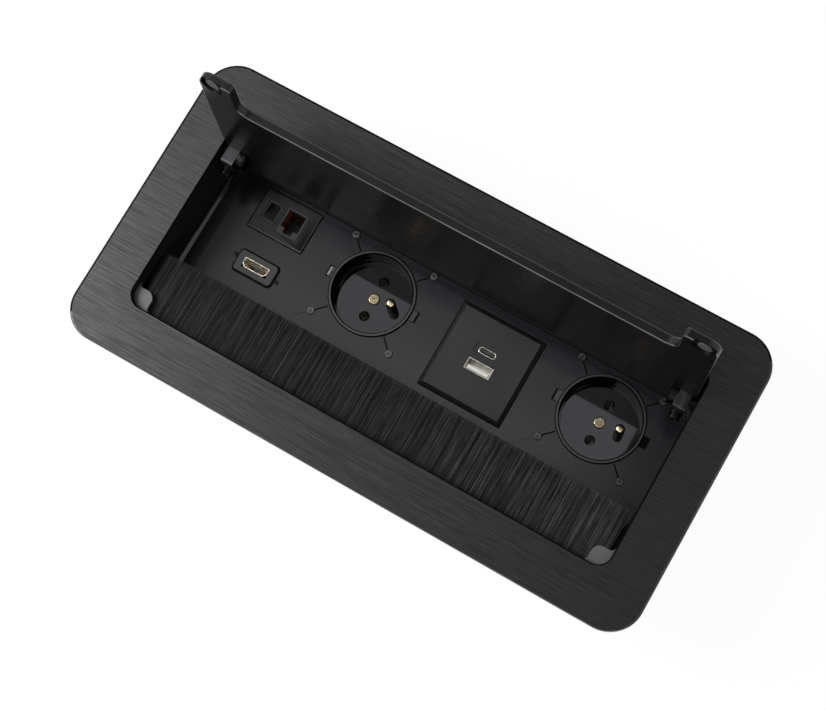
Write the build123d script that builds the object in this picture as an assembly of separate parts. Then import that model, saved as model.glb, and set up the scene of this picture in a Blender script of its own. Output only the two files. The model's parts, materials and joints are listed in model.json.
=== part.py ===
"""A desk socket block: a box let into a desk top, with a brushed bezel, a flip-up lid that stands
open, a brush for the leads, two mains sockets, a charger module, a network plate and a video port.

Frame: X along the bezel, Y towards the hinge at the back, Z up. The origin is the centre of the
bezel's underside, which seats on the desk. Everything is drawn in millimetres.
"""
from build123d import *
import os
from math import cos, sin, pi, radians, sqrt

# Bezel round the opening
bezel_end = 22.8
bezel_side = 24.1
bezel_thickness = 2.0
bezel_corner = 16.0
bezel_edge = 0.6
bezel_rebate = 0.5
opening_corner = 7.0
bezel_screw_inset = 47.0
bezel_boss_radius = 3.8
bezel_boss_depth = 12.0

# What stands beside what on the faceplate, from the left end to the right
left_margin = 20.35
gap_data_socket = 16.95
gap_socket_charger = 17.1
gap_charger_socket = 15.7
right_margin = 11.6

# The faceplate's width, and the lid's shelf behind it
plate_width = 87.1
shelf_width = 12.7
socket_setback = 23.8
charger_setback = 27.9
network_setback = 12.9
video_setback = 40.1

# Housing under the bezel
wall = 2.5
well_depth = 31.3
part_gap = 0.3
hole_play = 0.1
head_play = 0.2
thread_play = 0.05
screw_end_gap = 0.3
lug_thickness = 3.0
rebate_gap = 0.1
bezel_boss_floor = 2.0

# Faceplate, ledge and covers
faceplate_thickness = 2.5
ledge_width = 3.0
ledge_height = 3.0
cover_thickness = 2.0
post_radius = 4.5
screw_radius = 1.5
screw_head_radius = 2.8
screw_head_height = 1.8
screw_length = 8.0
pilot_radius = 1.55
cover_head_height = 0.9
plate_screw_drop = 3.0
plate_screw_skin = 0.6
driver_way = 9.0

# Lid, its ears and its hinge
lid_thickness = 4.2
lid_side_gap = 1.4
lid_front_gap = 0.8
lid_tail_gap = 0.75
lid_tail_drop_gap = 0.55
lid_edge = 0.5
ear_width = 16.3
ear_length = 22.4
ear_root_radius = 6.0
ear_tip_radius = 2.0
ear_corner = 6.5
open_angle = 92.0
pivot_setback = 2.5
pivot_drop = 3.4
pin_radius = 1.5
pin_running_clearance = 0.05
pin_cap_radius = 5.6
pin_cap_length = 4.0
pin_cap_edge = 0.8
block_inset = 9.1
block_width = 6.2
block_depth = 6.7
block_front = 5.4
block_back = 5.6
block_pocket = 1.6
block_screw_radius = 1.25
block_screw_head_radius = 2.6
block_screw_head_height = 2.6
block_screw_shift = 3.0
block_screw_grip = 1.5
block_screw_round = 0.6
block_play = 0.1
block_nose = 1.4
recess_length = 3.4
recess_width = 0.7
recess_depth = 0.8
washer_radius = 3.1
washer_thickness = 1.0
pad_radius = 3.3
pad_thickness = 0.6
pad_edge = 0.2
pad_inset = 8.0
pad_setback = 4.7
ear_pocket_radius = 5.2
ear_pocket_depth = 1.4

# Corner tabs at the front, and the brush
tab_thickness = 2.6
tab_reach = 9.0
tab_corner = 4.2
tab_flare = 2.2
tab_clearance = 0.3
tab_stud_radius = 0.9
tab_stud_y = 5.8
tab_stud_skin = 0.5
tab_wall_gap = 0.2
brush_top = 6.0
brush_thickness = 2.0
bristle_reach = 29.4
bristle_root = 3.4
bristle_clump = 2.6
bristle_notch = 0.9
bristle_wave = 0.3
bristle_ripple = 0.2
bristle_side_gap = 2.4
brush_slot_clearance = 0.3
carrier_depth = 4.6
carrier_skin = 2.0
carrier_overrun = 3.0
carrier_play = 0.1
grip_play = 0.02

# Sockets
rim_radius = 21.2
rim_height = 1.2
rim_edge = 0.5
rim_lip = 0.6
rim_lip_depth = 0.8
well_radius = 19.2
well_step_depth = 7.3
well_step = 0.5
well_draft = 0.2
cup_radius = 20.5
cup_taper = 1.0
socket_well_depth = 10.7
cup_floor = 3.0
flange_half = 23.2
flange_thickness = 2.0
flange_corner = 3.0
flange_screw_half = 21.4
flange_screw_radius = 1.9
flange_screw_height = 0.7
flange_screw_edge = 0.25
flange_shank_radius = 1.1
cross_length = 1.8
cross_width = 0.5
cross_depth = 0.4
notch_length = 5.6
notch_depth = 3.0
notch_sink = 0.5
notch_lap = 0.6
groove_length = 17.0
groove_width = 0.7
groove_depth = 0.4
pin_spacing = 19.0
pin_hole_radius = 2.6
earth_offset = 10.0
earth_radius = 2.4
earth_height = 13.0
centre_screw_radius = 2.7
centre_screw_height = 1.4
centre_screw_sink = 0.6
centre_screw_round = 0.5
centre_slot_length = 4.4
centre_slot_width = 0.8
centre_slot_depth = 0.6
centre_slot_turn = 30.0
centre_shank_radius = 1.5
centre_shank_reach = 8.0
carrier_radius = 18.0
carrier_length = 16.0
sleeve_outer = 3.3
sleeve_bore = 2.7
sleeve_slit = 0.8
sleeve_floor = 2.0
slit_start = 6.0
sleeve_fit = 0.1
bus_width = 5.0
bus_thickness = 1.0
bus_drop = 1.2
bus_overrun = 5.0
bus_cover_gap = 4.8
bus_play = 0.1

# Charger module
charger_length = 43.2
charger_width = 45.2
charger_rise = 2.0
charger_bevel = 1.8
charger_gap = 0.4
charger_wall = 1.5
charger_seat = 1.5
charger_skin = 0.5
charger_play = 0.2
charger_bus_gap = 1.4
board_play = 0.1
board_thickness = 1.6
transformer_length = 14.0
transformer_width = 12.0
transformer_height = 9.0
transformer_shift = 2.0
transformer_edge = 0.8
capacitor_radius = 4.0
capacitor_height = 10.0
capacitor_shift = 5.5
board_leg_radius = 1.5
board_leg_inset = 2.5
type_a_drop = 3.0
type_a_length = 13.1
type_a_width = 5.7
type_a_wall = 0.4
type_a_depth = 13.0
tongue_a_thickness = 1.9
tongue_a_gap = 0.35
tongue_a_side_gap = 0.5
tongue_a_sink = 0.8
tongue_a_edge = 0.3
type_c_lift = 5.3
type_c_length = 8.9
type_c_width = 3.2
type_c_wall = 0.35
type_c_depth = 8.0
type_c_proud = 0.3
tongue_c_thickness = 0.7
tongue_c_side_gap = 0.7
tongue_c_sink = 1.0
port_gap = 0.15
port_corner = 0.3
port_floor = 1.0
lozenge_margin = 2.2
lozenge_sink = 0.4
lozenge_cut = 0.9

# Network plate and video port
network_length = 29.7
network_width = 21.2
network_rise = 1.2
network_edge = 0.4
network_lip = 1.0
network_collar = 3.0
jack_x = 4.2
jack_y = -0.1
jack_length = 11.4
jack_width = 13.8
jack_wall = 1.1
jack_depth = 22.0
jack_cavity_depth = 13.0
jack_sink = 0.1
latch_length = 4.6
latch_width = 2.6
latch_depth = 6.0
wire_count = 8
wire_pitch = 1.02
wire_width = 0.36
wire_thickness = 0.45
wire_drop = 3.0
wire_rise = 6.5
wire_run = 3.55
wire_seat_gap = 0.05
blank_x = -7.4
blank_y = 0.4
blank_length = 7.2
blank_width = 10.4
blank_depth = 6.0
blank_sink = 0.2
blank_rim = 0.8
blank_recess = 3.8
video_length = 21.0
video_width = 11.2
video_rise = 1.6
video_corner = 2.0
video_edge = 0.5
video_play = 0.2
video_body_depth = 18.0
video_shell_length = 13.4
video_shell_width = 4.8
video_shell_cut = 1.6
video_shell_wall = 0.4
video_shell_depth = 11.0
video_shell_proud = 0.3
video_shell_play = 0.1
video_shell_floor = 0.8
video_tongue_thickness = 1.1
video_tongue_side_gap = 2.1
video_tongue_sink = 1.0
video_tongue_shift = 0.3
video_screw_radius = 1.1
video_shank_radius = 0.82
video_screw_height = 0.8
video_screw_gap = 1.6
video_screw_shift = -1.4
cover_window_length = 28.0
cover_window_width = 44.0
cover_window_corner = 3.0

# Mains side: terminal block, gland and clamps
terminal_length = 14.0
terminal_side = 4.0
terminal_height = 13.0
terminal_screw_radius = 2.0
terminal_wire_radius = 2.2
terminal_setback = 7.3
bus_entry = 8.0
gland_shift = 2.0
gland_height = 14.0
gland_radius = 6.2
gland_bore = 4.0
gland_flange_radius = 8.5
gland_flange = 2.0
gland_reach = 4.0
gland_round = 0.8
clamp_width = 22.0
clamp_thickness = 2.0
clamp_top = 25.0
clamp_leg = 30.0
clamp_reach = 12.0
clamp_slot = 14.0
clamp_bend = 1.5
clamp_screw_radius = 2.0
clamp_thread_radius = 1.75
clamp_knob_radius = 6.0
clamp_knob_length = 7.0
clamp_knob_ribs = 12
clamp_knob_flute = 0.9

# Two drawing aids: how far fused pieces are drawn into each other, and when two places are the same
overlap = 0.5
near = 0.01

# Along X: the opening is as long as what stands in it, and each piece follows the one before
opening_length = (left_margin + network_length + gap_data_socket + 2 * flange_half + gap_socket_charger
                  + charger_length + gap_charger_socket + 2 * flange_half + right_margin)
opening_x = opening_length / 2
outer_x = opening_x + wall
bezel_length = opening_length + 2 * bezel_end
data_x = -opening_x + left_margin + network_length / 2
socket_1_x = data_x + network_length / 2 + gap_data_socket + flange_half
charger_x = socket_1_x + flange_half + gap_socket_charger + charger_length / 2
socket_2_x = charger_x + charger_length / 2 + gap_charger_socket + flange_half
socket_x = (socket_1_x, socket_2_x)
terminal_x = socket_1_x - flange_half - terminal_setback
gland_x = terminal_x + gland_shift
lid_x = opening_x - lid_side_gap
ear_inner_x = lid_x - ear_width
block_inner_x = opening_x - block_inset
pad_x = opening_x - pad_inset

# Along Y: all of it is measured from the well's back wall
opening_width = plate_width + shelf_width
opening_y = opening_width / 2
outer_y = opening_y + wall
bezel_width = opening_width + 2 * bezel_side
back_wall_y = opening_y - shelf_width
socket_y = back_wall_y - socket_setback
charger_y = back_wall_y - charger_setback
network_y = back_wall_y - network_setback
video_y = back_wall_y - video_setback
type_a_y = charger_y - type_a_drop
type_c_y = charger_y + type_c_lift
pivot_y = back_wall_y - pivot_setback

# Levels that several pieces share
bezel_top = bezel_thickness
plate_top = -well_depth
plate_bottom = plate_top - faceplate_thickness
ledge_bottom = plate_bottom - ledge_height
socket_floor = plate_top - socket_well_depth
carrier_top = socket_floor - cup_floor
carrier_bottom = carrier_top - carrier_length
bus_top = carrier_bottom - bus_drop
cover_top = bus_top - bus_thickness - bus_cover_gap
base_z = cover_top - cover_thickness
lid_underside = bezel_top - lid_thickness

# The lid's tail swings down behind the pivot, so its reach and the shelf's depth follow each other
tail_swing = opening_y - pivot_y - lid_tail_gap
tail_rise = bezel_top + pivot_drop
lid_back = pivot_y + sqrt(tail_swing ** 2 - tail_rise ** 2)
shelf_depth = pivot_drop + tail_swing + lid_tail_drop_gap
pivot = (0, pivot_y, -pivot_drop)
lid_front = -opening_y + lid_front_gap
pad_y = lid_front + pad_setback
pocket_floor = lid_underside + ear_pocket_depth
lower_y = (back_wall_y - opening_y) / 2
lower_width = back_wall_y + opening_y
tab_top = lid_underside - tab_clearance
gland_z = base_z + gland_height


def block(length, width, low, high, x=0.0, y=0.0, corner=0.0):
    """A plate or block with upright rounded corners, between two levels."""
    outline = Rectangle(length, width) if corner <= 0 else RectangleRounded(length, width, corner)
    return extrude(Pos(x, y, low) * outline, high - low)


def rod(radius, low, high, x=0.0, y=0.0):
    """An upright cylinder between two levels."""
    return extrude(Pos(x, y, low) * Circle(radius), high - low)


def rod_x(radius, start, end, y, z):
    """A cylinder along X."""
    return Pos((start + end) / 2, y, z) * Rot(0, 90, 0) * Cylinder(radius, abs(end - start))


def rod_y(radius, start, end, x, z):
    """A cylinder along Y."""
    return Pos(x, (start + end) / 2, z) * Rot(90, 0, 0) * Cylinder(radius, abs(end - start))


def box(x0, x1, y0, y1, z0, z1):
    """A box given by its faces."""
    centre = Pos((x0 + x1) / 2, (y0 + y1) / 2, (z0 + z1) / 2)
    return centre * Box(abs(x1 - x0), abs(y1 - y0), abs(z1 - z0))


def opened(shape):
    """Turns a piece that is drawn on the closed lid to where it stands with the lid open."""
    return shape.rotate(Axis(pivot, (1, 0, 0)), -open_angle)


def mirrored(shape):
    """The left-hand twin of a right-hand piece."""
    return mirror(shape, Plane.YZ)


pieces = {}

# Screw places, shared by the bezel, the housing, the faceplate and the cover
bezel_screw_x = opening_x - bezel_screw_inset
bezel_screw_y = outer_y + carrier_depth + post_radius
bezel_screws_at = [(x, y) for x in (-bezel_screw_x, 0.0, bezel_screw_x)
                   for y in (-bezel_screw_y, bezel_screw_y)]
corner_post_x = opening_x - post_radius
front_post_y = -opening_y + post_radius
back_post_y = back_wall_y - post_radius
corner_posts_at = [(x, y) for x in (-corner_post_x, corner_post_x) for y in (front_post_y, back_post_y)]


def bezel_frame():
    """A brushed plate with the opening, a rebate for the tub's rim, and six screw bosses below."""
    plate = block(bezel_length, bezel_width, 0, bezel_top, corner=bezel_corner)
    plate -= block(opening_length, opening_width, -1, bezel_top + 1, corner=opening_corner)
    plate = chamfer(plate.edges().group_by(Axis.Z)[-1], bezel_edge)
    plate -= block(2 * outer_x + 2 * rebate_gap, 2 * outer_y + 2 * rebate_gap, -1, bezel_rebate,
                   corner=opening_corner + wall + rebate_gap)
    for x, y in bezel_screws_at:
        boss = rod(bezel_boss_radius, -bezel_boss_depth, 0, x, y)
        plate += boss - rod(pilot_radius, -bezel_boss_depth, -bezel_boss_floor, x, y)
    return plate


def brush_slot():
    """The long slit in the front wall that the bristles come through."""
    half = opening_x - bristle_side_gap + brush_slot_clearance
    return box(-half, half, -outer_y - 1, -opening_y + opening_corner,
               -brush_top - brush_thickness - brush_slot_clearance, -brush_top + brush_slot_clearance)


def housing():
    """One moulded tub: the well's walls, a step under the lid's tail, ledges, posts and lugs."""
    outer_corner = opening_corner + wall
    tub = block(2 * outer_x, 2 * outer_y, -shelf_depth - wall, bezel_rebate, corner=outer_corner)
    tub += block(2 * outer_x, lower_width + 2 * wall, base_z, -wall, y=lower_y, corner=outer_corner)
    tub -= block(opening_length, opening_width, -shelf_depth, 1, corner=opening_corner)
    tub -= block(opening_length, lower_width, plate_bottom, 1, y=lower_y, corner=opening_corner)
    ledge_span = opening_length - 2 * ledge_width
    ledge_depth = lower_width - 2 * ledge_width
    tub -= block(ledge_span, ledge_depth, ledge_bottom - 1, 0, y=lower_y, corner=opening_corner - ledge_width)
    tub -= block(opening_length, lower_width, base_z - 1, ledge_bottom, y=lower_y, corner=opening_corner)
    inside = block(opening_length, lower_width, cover_top, ledge_bottom, y=lower_y, corner=opening_corner)
    for x, y in corner_posts_at:
        seat = ledge_bottom - plate_screw_drop
        tub += rod(post_radius, cover_top, ledge_bottom + overlap, x, y) & inside
        tub -= rod(pilot_radius, cover_top, cover_top + screw_length, x, y)
        tub -= rod(pilot_radius + hole_play, seat - 1, plate_bottom + 1, x, y)
        tub -= rod(screw_head_radius + head_play, seat - driver_way, seat, x, y) & inside
    tub -= brush_slot()
    for x in socket_x:
        half = flange_half + part_gap
        tub -= box(x - half, x + half, back_wall_y - ledge_width - 1, back_wall_y, ledge_bottom, plate_bottom)
    for x, y in bezel_screws_at:
        side = 1 if y > 0 else -1
        low = -bezel_boss_depth - lug_thickness
        lug = rod(post_radius, low, -bezel_boss_depth, x, y)
        lug += box(x - post_radius, x + post_radius, side * (outer_y - overlap), y, low, -bezel_boss_depth)
        tub += lug - rod(pilot_radius + hole_play, low - 1, 0, x, y)
    for side in (-1, 1):
        tub -= rod_x(pin_radius + pin_running_clearance, side * (opening_x - 1), side * (outer_x + 1),
                     pivot_y, -pivot_drop)
        tub -= rod_x(clamp_thread_radius + thread_play, side * (opening_x - 1), side * (outer_x + 1),
                     0, -clamp_top - clamp_leg / 2)
        tub -= tab_stud(side, thread_play)
    tub -= rod_y(gland_radius + hole_play, back_wall_y - 1, back_wall_y + wall + 1, gland_x, gland_z)
    return tub


def tab_stud(side, clearance=0.0):
    """The round stud that holds a corner tab in the end wall."""
    start = opening_x - tab_wall_gap - overlap
    end = outer_x - tab_stud_skin
    return rod_x(tab_stud_radius + clearance, side * start, side * end,
                 -opening_y + tab_stud_y, tab_top - tab_thickness / 2)


def lid_outline():
    """The lid from above: straight back, a set-back front edge, and two ears beside the brush slot."""
    notch_y = lid_front + ear_length
    sheet = make_face(Polyline([(-lid_x, lid_front), (lid_x, lid_front), (lid_x, lid_back),
                                (-lid_x, lid_back)], close=True))
    notch = make_face(Polyline([(-ear_inner_x, lid_front - 5), (ear_inner_x, lid_front - 5),
                                (ear_inner_x, notch_y), (-ear_inner_x, notch_y)], close=True))
    sheet -= notch
    front = [v for v in sheet.vertices() if abs(v.Y - lid_front) < near]
    sheet = fillet([v for v in front if abs(v.X) > lid_x - near], ear_corner)
    tips = [v for v in sheet.vertices() if abs(v.Y - lid_front) < near and abs(abs(v.X) - ear_inner_x) < near]
    sheet = fillet(tips, ear_tip_radius)
    roots = [v for v in sheet.vertices() if abs(v.Y - notch_y) < near]
    sheet = fillet(roots, ear_root_radius)
    back = [v for v in sheet.vertices() if abs(v.Y - lid_back) < near]
    return fillet(back, max(opening_corner - lid_side_gap, lid_edge))


def lid():
    """The lid, closed: a thick plate with bevelled edges and a pocket for each hinge block."""
    plate = extrude(Pos(0, 0, lid_underside) * lid_outline(), lid_thickness)
    plate = chamfer(plate.edges().group_by(Axis.Z)[-1], lid_edge)
    for side in (-1, 1):
        plate -= box(side * (block_inner_x - block_play), side * (lid_x + 1),
                     pivot_y - block_front - block_play, pivot_y + block_back + block_play,
                     lid_underside - 1, lid_underside + block_pocket)
        x = side * (block_inner_x + block_width / 2)
        plate -= rod(block_screw_radius, lid_underside, block_top + block_screw_grip, x,
                     pivot_y + block_screw_shift)
        x = side * pad_x
        pocket = rod(ear_pocket_radius, lid_underside - 1, pocket_floor, x, pad_y)
        pocket += box(x - ear_pocket_radius, x + ear_pocket_radius, lid_front - 1, pad_y,
                      lid_underside - 1, pocket_floor)
        plate -= pocket
    return plate


block_top = lid_underside + block_pocket
block_bottom = -pivot_drop - block_depth


def hinge_block():
    """The right-hand block under the closed lid, with the pin's bore and a rounded nose."""
    x0 = block_inner_x
    body = box(x0, x0 + block_width, pivot_y - block_front, pivot_y + block_back, block_bottom, block_top)
    nose = [e for e in body.edges().filter_by(Axis.X) if e.center().Z < block_bottom + 0.01]
    body = fillet(nose, block_nose)
    body -= rod_x(pin_radius, x0 - 1, x0 + block_width + 1, pivot_y, -pivot_drop)
    x = x0 + block_width / 2
    y = pivot_y + block_screw_shift
    body -= rod(block_screw_radius + hole_play, block_bottom - 1, block_top + 1, x, y)
    return body


def block_screw():
    """The right-hand screw that holds the block to the lid, with a slotted head."""
    x = block_inner_x + block_width / 2
    y = pivot_y + block_screw_shift
    low = block_bottom - washer_thickness
    screw = rod(block_screw_head_radius, low - block_screw_head_height, low, x, y)
    screw = fillet(screw.edges().group_by(Axis.Z)[0], block_screw_round)
    screw += rod(block_screw_radius, low, block_top + block_screw_grip, x, y)
    head = low - block_screw_head_height
    for turn in (0, 90):
        screw -= Pos(x, y, head) * Rot(0, 0, turn) * Box(recess_length, recess_width, 2 * recess_depth)
    return screw


def block_washer():
    """The washer under the block screw's head."""
    x = block_inner_x + block_width / 2
    y = pivot_y + block_screw_shift
    low = block_bottom - washer_thickness
    washer = rod(washer_radius, low, block_bottom, x, y)
    return washer - rod(block_screw_radius + hole_play, low - 1, block_bottom + 1, x, y)


def hinge_pin():
    """The right-hand hinge pin: a round cap flattened against the lid, and a shaft out to the end wall."""
    pin = rod_x(pin_radius, block_inner_x, outer_x, pivot_y, -pivot_drop)
    cap = rod_x(pin_cap_radius, block_inner_x - pin_cap_length, block_inner_x, pivot_y, -pivot_drop)
    cap = chamfer(cap.edges().group_by(Axis.X)[0], pin_cap_edge)
    cap &= box(0, outer_x, 0, outer_y, base_z, lid_underside)
    return pin + cap


def corner_tab():
    """The right-hand tab that the lid's ear lands on: a rounded corner that flares into both walls."""
    x1 = opening_x - tab_wall_gap
    y0 = -opening_y + tab_wall_gap
    x0 = x1 - tab_reach
    y1 = y0 + tab_reach
    plate = make_face(Polyline([(x0, y0), (x1, y0), (x1, y1), (x0, y1)], close=True))
    plate = fillet(plate.vertices().group_by(Axis.X)[0].group_by(Axis.Y)[-1], tab_corner)
    flare = Pos(x1 - tab_flare / 2, y1 + tab_flare / 2) * Rectangle(tab_flare, tab_flare)
    plate += flare - Pos(x1 - tab_flare, y1 + tab_flare) * Circle(tab_flare)
    flare = Pos(x0 - tab_flare / 2, y0 + tab_flare / 2) * Rectangle(tab_flare, tab_flare)
    plate += flare - Pos(x0 - tab_flare, y0 + tab_flare) * Circle(tab_flare)
    plate &= RectangleRounded(2 * x1, 2 * abs(y0), opening_corner - tab_wall_gap)
    tab = extrude(Pos(0, 0, tab_top - tab_thickness) * plate, tab_thickness)
    return tab + tab_stud(1)


def lid_pad():
    """The right-hand round pad in the pocket under the lid's ear."""
    pad = rod(pad_radius, pocket_floor - pad_thickness, pocket_floor, pad_x, pad_y)
    return chamfer(pad.edges().group_by(Axis.Z)[0], pad_edge)


def bristles():
    """The brush: one sheet from the root, with fine uneven clumps at its free edge."""
    half = opening_x - bristle_side_gap
    count = round(2 * half / bristle_clump)
    step = 2 * half / count
    root = -outer_y - bristle_root
    points = [(-half, root), (-half, -opening_y + bristle_reach)]
    for i in range(count):
        x = -half + i * step
        tip = -opening_y + bristle_reach + bristle_wave * sin(2.1 * i) + bristle_ripple * sin(5.3 * i + 1)
        points += [(x + 0.2 * step, tip), (x + 0.8 * step, tip - 0.1)]
        if i < count - 1:
            points.append((x + step, tip - bristle_notch))
    points += [(half, -opening_y + bristle_reach), (half, root)]
    return extrude(Pos(0, 0, -brush_top - brush_thickness) * make_face(Polyline(points, close=True)),
                   brush_thickness)


def brush_carrier():
    """The channel on the outside of the front wall that grips the bristles' roots."""
    half = opening_x - bristle_side_gap + carrier_overrun
    mid = -brush_top - brush_thickness / 2
    tall = brush_thickness / 2 + brush_slot_clearance + carrier_skin
    channel = box(-half, half, -outer_y - carrier_depth, -outer_y, mid - tall, mid + tall)
    slot_half = opening_x - bristle_side_gap + carrier_play
    grip = brush_thickness / 2 + grip_play
    return channel - box(-slot_half, slot_half, -outer_y - bristle_root - carrier_play, -outer_y + 1,
                         mid - grip, mid + grip)


def faceplate():
    """The plate at the bottom of the well, with the cut-outs, grooves and notches of its inserts."""
    length = opening_length - 2 * part_gap
    plate = block(length, lower_width - 2 * part_gap, plate_bottom, plate_top, y=lower_y,
                  corner=opening_corner - part_gap)
    for x in socket_x:
        plate -= rod(cup_radius + part_gap, plate_bottom - 1, plate_top + 1, x, socket_y)
        for side in (-1, 1):
            plate -= block(2 * notch_depth, notch_length + part_gap, plate_top - notch_sink, plate_top + 1,
                           x + side * rim_radius, socket_y)
            for up in (-1, 1):
                hole_x = x + side * flange_screw_half
                hole_y = socket_y + up * flange_screw_half
                plate -= rod(flange_shank_radius + hole_play, plate_bottom - 1, plate_top + 1, hole_x, hole_y)
                groove = Pos(hole_x, hole_y, plate_top) * Rot(0, 0, 45 * side * up)
                plate -= groove * Box(groove_length, groove_width, 2 * groove_depth)
    plate -= block(charger_length + 2 * charger_gap, charger_width + 2 * charger_gap,
                   plate_bottom - 1, plate_top + 1, charger_x, charger_y)
    plate -= block(network_length - 2 * network_lip, network_width - 2 * network_lip,
                   plate_bottom - 1, plate_top + 1, data_x, network_y)
    plate -= block(video_length + 2 * video_play, video_width + 2 * video_play,
                   plate_bottom - 1, plate_top + 1, data_x, video_y, video_corner)
    for side in (-1, 1):
        plate -= rod(video_shank_radius + thread_play, plate_bottom - 1, plate_top + 1,
                     data_x + side * video_screw_x, video_y + side * video_screw_shift)
    for x, y in corner_posts_at:
        plate -= rod(pilot_radius, plate_bottom - 1, plate_top - plate_screw_skin, x, y)
    return plate


video_screw_x = video_length / 2 + video_screw_gap


def socket_cup(x):
    """The round cup of one socket: rim, stepped well, floor with its holes, and the screw flange."""
    rim_top = plate_top + rim_height
    outside = [(0, carrier_top), (cup_radius - cup_taper, carrier_top), (cup_radius, plate_bottom),
               (cup_radius, plate_top), (rim_radius, plate_top), (rim_radius, rim_top - rim_edge),
               (rim_radius - rim_edge, rim_top)]
    inside = [(well_radius + rim_lip, rim_top), (well_radius, rim_top - rim_lip_depth),
              (well_radius - well_draft, plate_top - well_step_depth),
              (well_radius - well_draft - well_step, plate_top - well_step_depth),
              (well_radius - 2 * well_draft - well_step, socket_floor), (0, socket_floor)]
    cup = revolve(Plane.XZ * make_face(Polyline(outside + inside, close=True)), Axis.Z)
    cup = Pos(x, socket_y, 0) * cup
    flange = block(2 * flange_half, 2 * flange_half, plate_bottom - flange_thickness, plate_bottom,
                   x, socket_y, flange_corner)
    flange -= rod(cup_radius - overlap, plate_bottom - flange_thickness - 1, plate_bottom + 1, x, socket_y)
    cup += flange
    for side in (-1, 1):
        cup += block(notch_depth, notch_length, plate_top - notch_sink, plate_top,
                     x + side * (rim_radius + notch_depth / 2 - notch_lap), socket_y)
        cup -= rod(pin_hole_radius, carrier_top - 1, socket_floor + 1, x, socket_y + side * pin_spacing / 2)
        for up in (-1, 1):
            cup -= rod(flange_shank_radius, plate_bottom - flange_thickness - 1, plate_bottom + 1,
                       x + side * flange_screw_half, socket_y + up * flange_screw_half)
    cup -= rod(earth_radius, carrier_top - 1, socket_floor + 1, x + earth_offset, socket_y)
    sink = socket_floor - centre_screw_sink
    cup -= rod(centre_screw_radius + head_play, sink, socket_floor + 1, x, socket_y)
    cup -= rod(centre_shank_radius + hole_play, carrier_top - 1, socket_floor + 1, x, socket_y)
    return cup


def socket_carrier(x):
    """The block under the cup's floor that holds the sleeves and the earth pin's tail."""
    body = rod(carrier_radius, carrier_bottom, carrier_top, x, socket_y)
    for side in (-1, 1):
        body -= rod(sleeve_outer + sleeve_fit, carrier_bottom - 1, carrier_top + 1,
                    x, socket_y + side * pin_spacing / 2)
    body -= rod(earth_radius + sleeve_fit, carrier_bottom - 1, carrier_top + 1, x + earth_offset, socket_y)
    low = carrier_top - centre_shank_reach - screw_end_gap
    return body - rod(centre_shank_radius, low, carrier_top + 1, x, socket_y)


def contact_sleeve(x, side):
    """A split brass sleeve that grips a plug's pin, standing on its bus."""
    y = socket_y + side * pin_spacing / 2
    sleeve = rod(sleeve_outer, bus_top, carrier_top, x, y)
    sleeve -= rod(sleeve_bore, bus_top + sleeve_floor, carrier_top + 1, x, y)
    return sleeve - box(x - sleeve_slit / 2, x + sleeve_slit / 2, y, y + side * (sleeve_outer + 1),
                        bus_top + slit_start, carrier_top + 1)


def earth_pin(x):
    """The earth pin with a rounded tip, from its bus up through the cup's floor."""
    pin = rod(earth_radius, bus_top, socket_floor + earth_height, x + earth_offset, socket_y)
    return fillet(pin.edges().group_by(Axis.Z)[-1], earth_radius * 0.8)


def centre_screw(x):
    """The screw in the middle of the cup's floor, with a slot."""
    low = socket_floor - centre_screw_sink
    screw = rod(centre_screw_radius, low, low + centre_screw_height, x, socket_y)
    screw = fillet(screw.edges().group_by(Axis.Z)[-1], centre_screw_round)
    screw += rod(centre_shank_radius, carrier_top - centre_shank_reach, low, x, socket_y)
    slot = Box(centre_slot_length, centre_slot_width, 2 * centre_slot_depth)
    return screw - Pos(x, socket_y, low + centre_screw_height) * Rot(0, 0, centre_slot_turn) * slot


def flange_screws(x):
    """The four small screws round one socket, each a solid of its own."""
    screws = []
    for side in (-1, 1):
        for up in (-1, 1):
            sx = x + side * flange_screw_half
            sy = socket_y + up * flange_screw_half
            screw = rod(flange_screw_radius, plate_top, plate_top + flange_screw_height, sx, sy)
            screw = chamfer(screw.edges().group_by(Axis.Z)[-1], flange_screw_edge)
            screw += rod(flange_shank_radius, plate_bottom - flange_thickness, plate_top, sx, sy)
            cross = Box(cross_length, cross_width, 2 * cross_depth)
            for turn in (0, 90):
                screw -= Pos(sx, sy, plate_top + flange_screw_height) * Rot(0, 0, turn) * cross
            screws.append(screw)
    return Compound(children=screws)


def bus(offset_y, start, end):
    """A flat brass strip along X under the sockets."""
    y = socket_y + offset_y
    return box(start, end, y - bus_width / 2, y + bus_width / 2, bus_top - bus_thickness, bus_top)


def terminal_block():
    """The block on the cover that the strips run into, with a screw well over each strip."""
    low = cover_top
    high = low + terminal_height
    body = block(terminal_length, pin_spacing + 2 * terminal_side, low, high, terminal_x, socket_y)
    right = terminal_x + terminal_length / 2
    for offset in (-pin_spacing / 2, 0, pin_spacing / 2):
        y = socket_y + offset
        body -= box(right - bus_entry - bus_play, right + 1, y - bus_width / 2 - bus_play,
                    y + bus_width / 2 + bus_play, bus_top - bus_thickness - bus_play, bus_top + bus_play)
        body -= rod(terminal_screw_radius, bus_top - bus_thickness, high + 1, right - bus_entry / 2, y)
        body -= rod_x(terminal_wire_radius, terminal_x - terminal_length / 2 - 1, terminal_x - 1, y,
                      bus_top - bus_thickness / 2)
    return body


port_hole_a = (type_a_length + 2 * port_gap, type_a_width + 2 * port_gap)
port_hole_c = (type_c_length + 2 * port_gap, type_c_width + 2 * port_gap)
charger_top = plate_top + charger_rise
port_depth_a = charger_top - type_a_depth
board_top = port_depth_a


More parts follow.
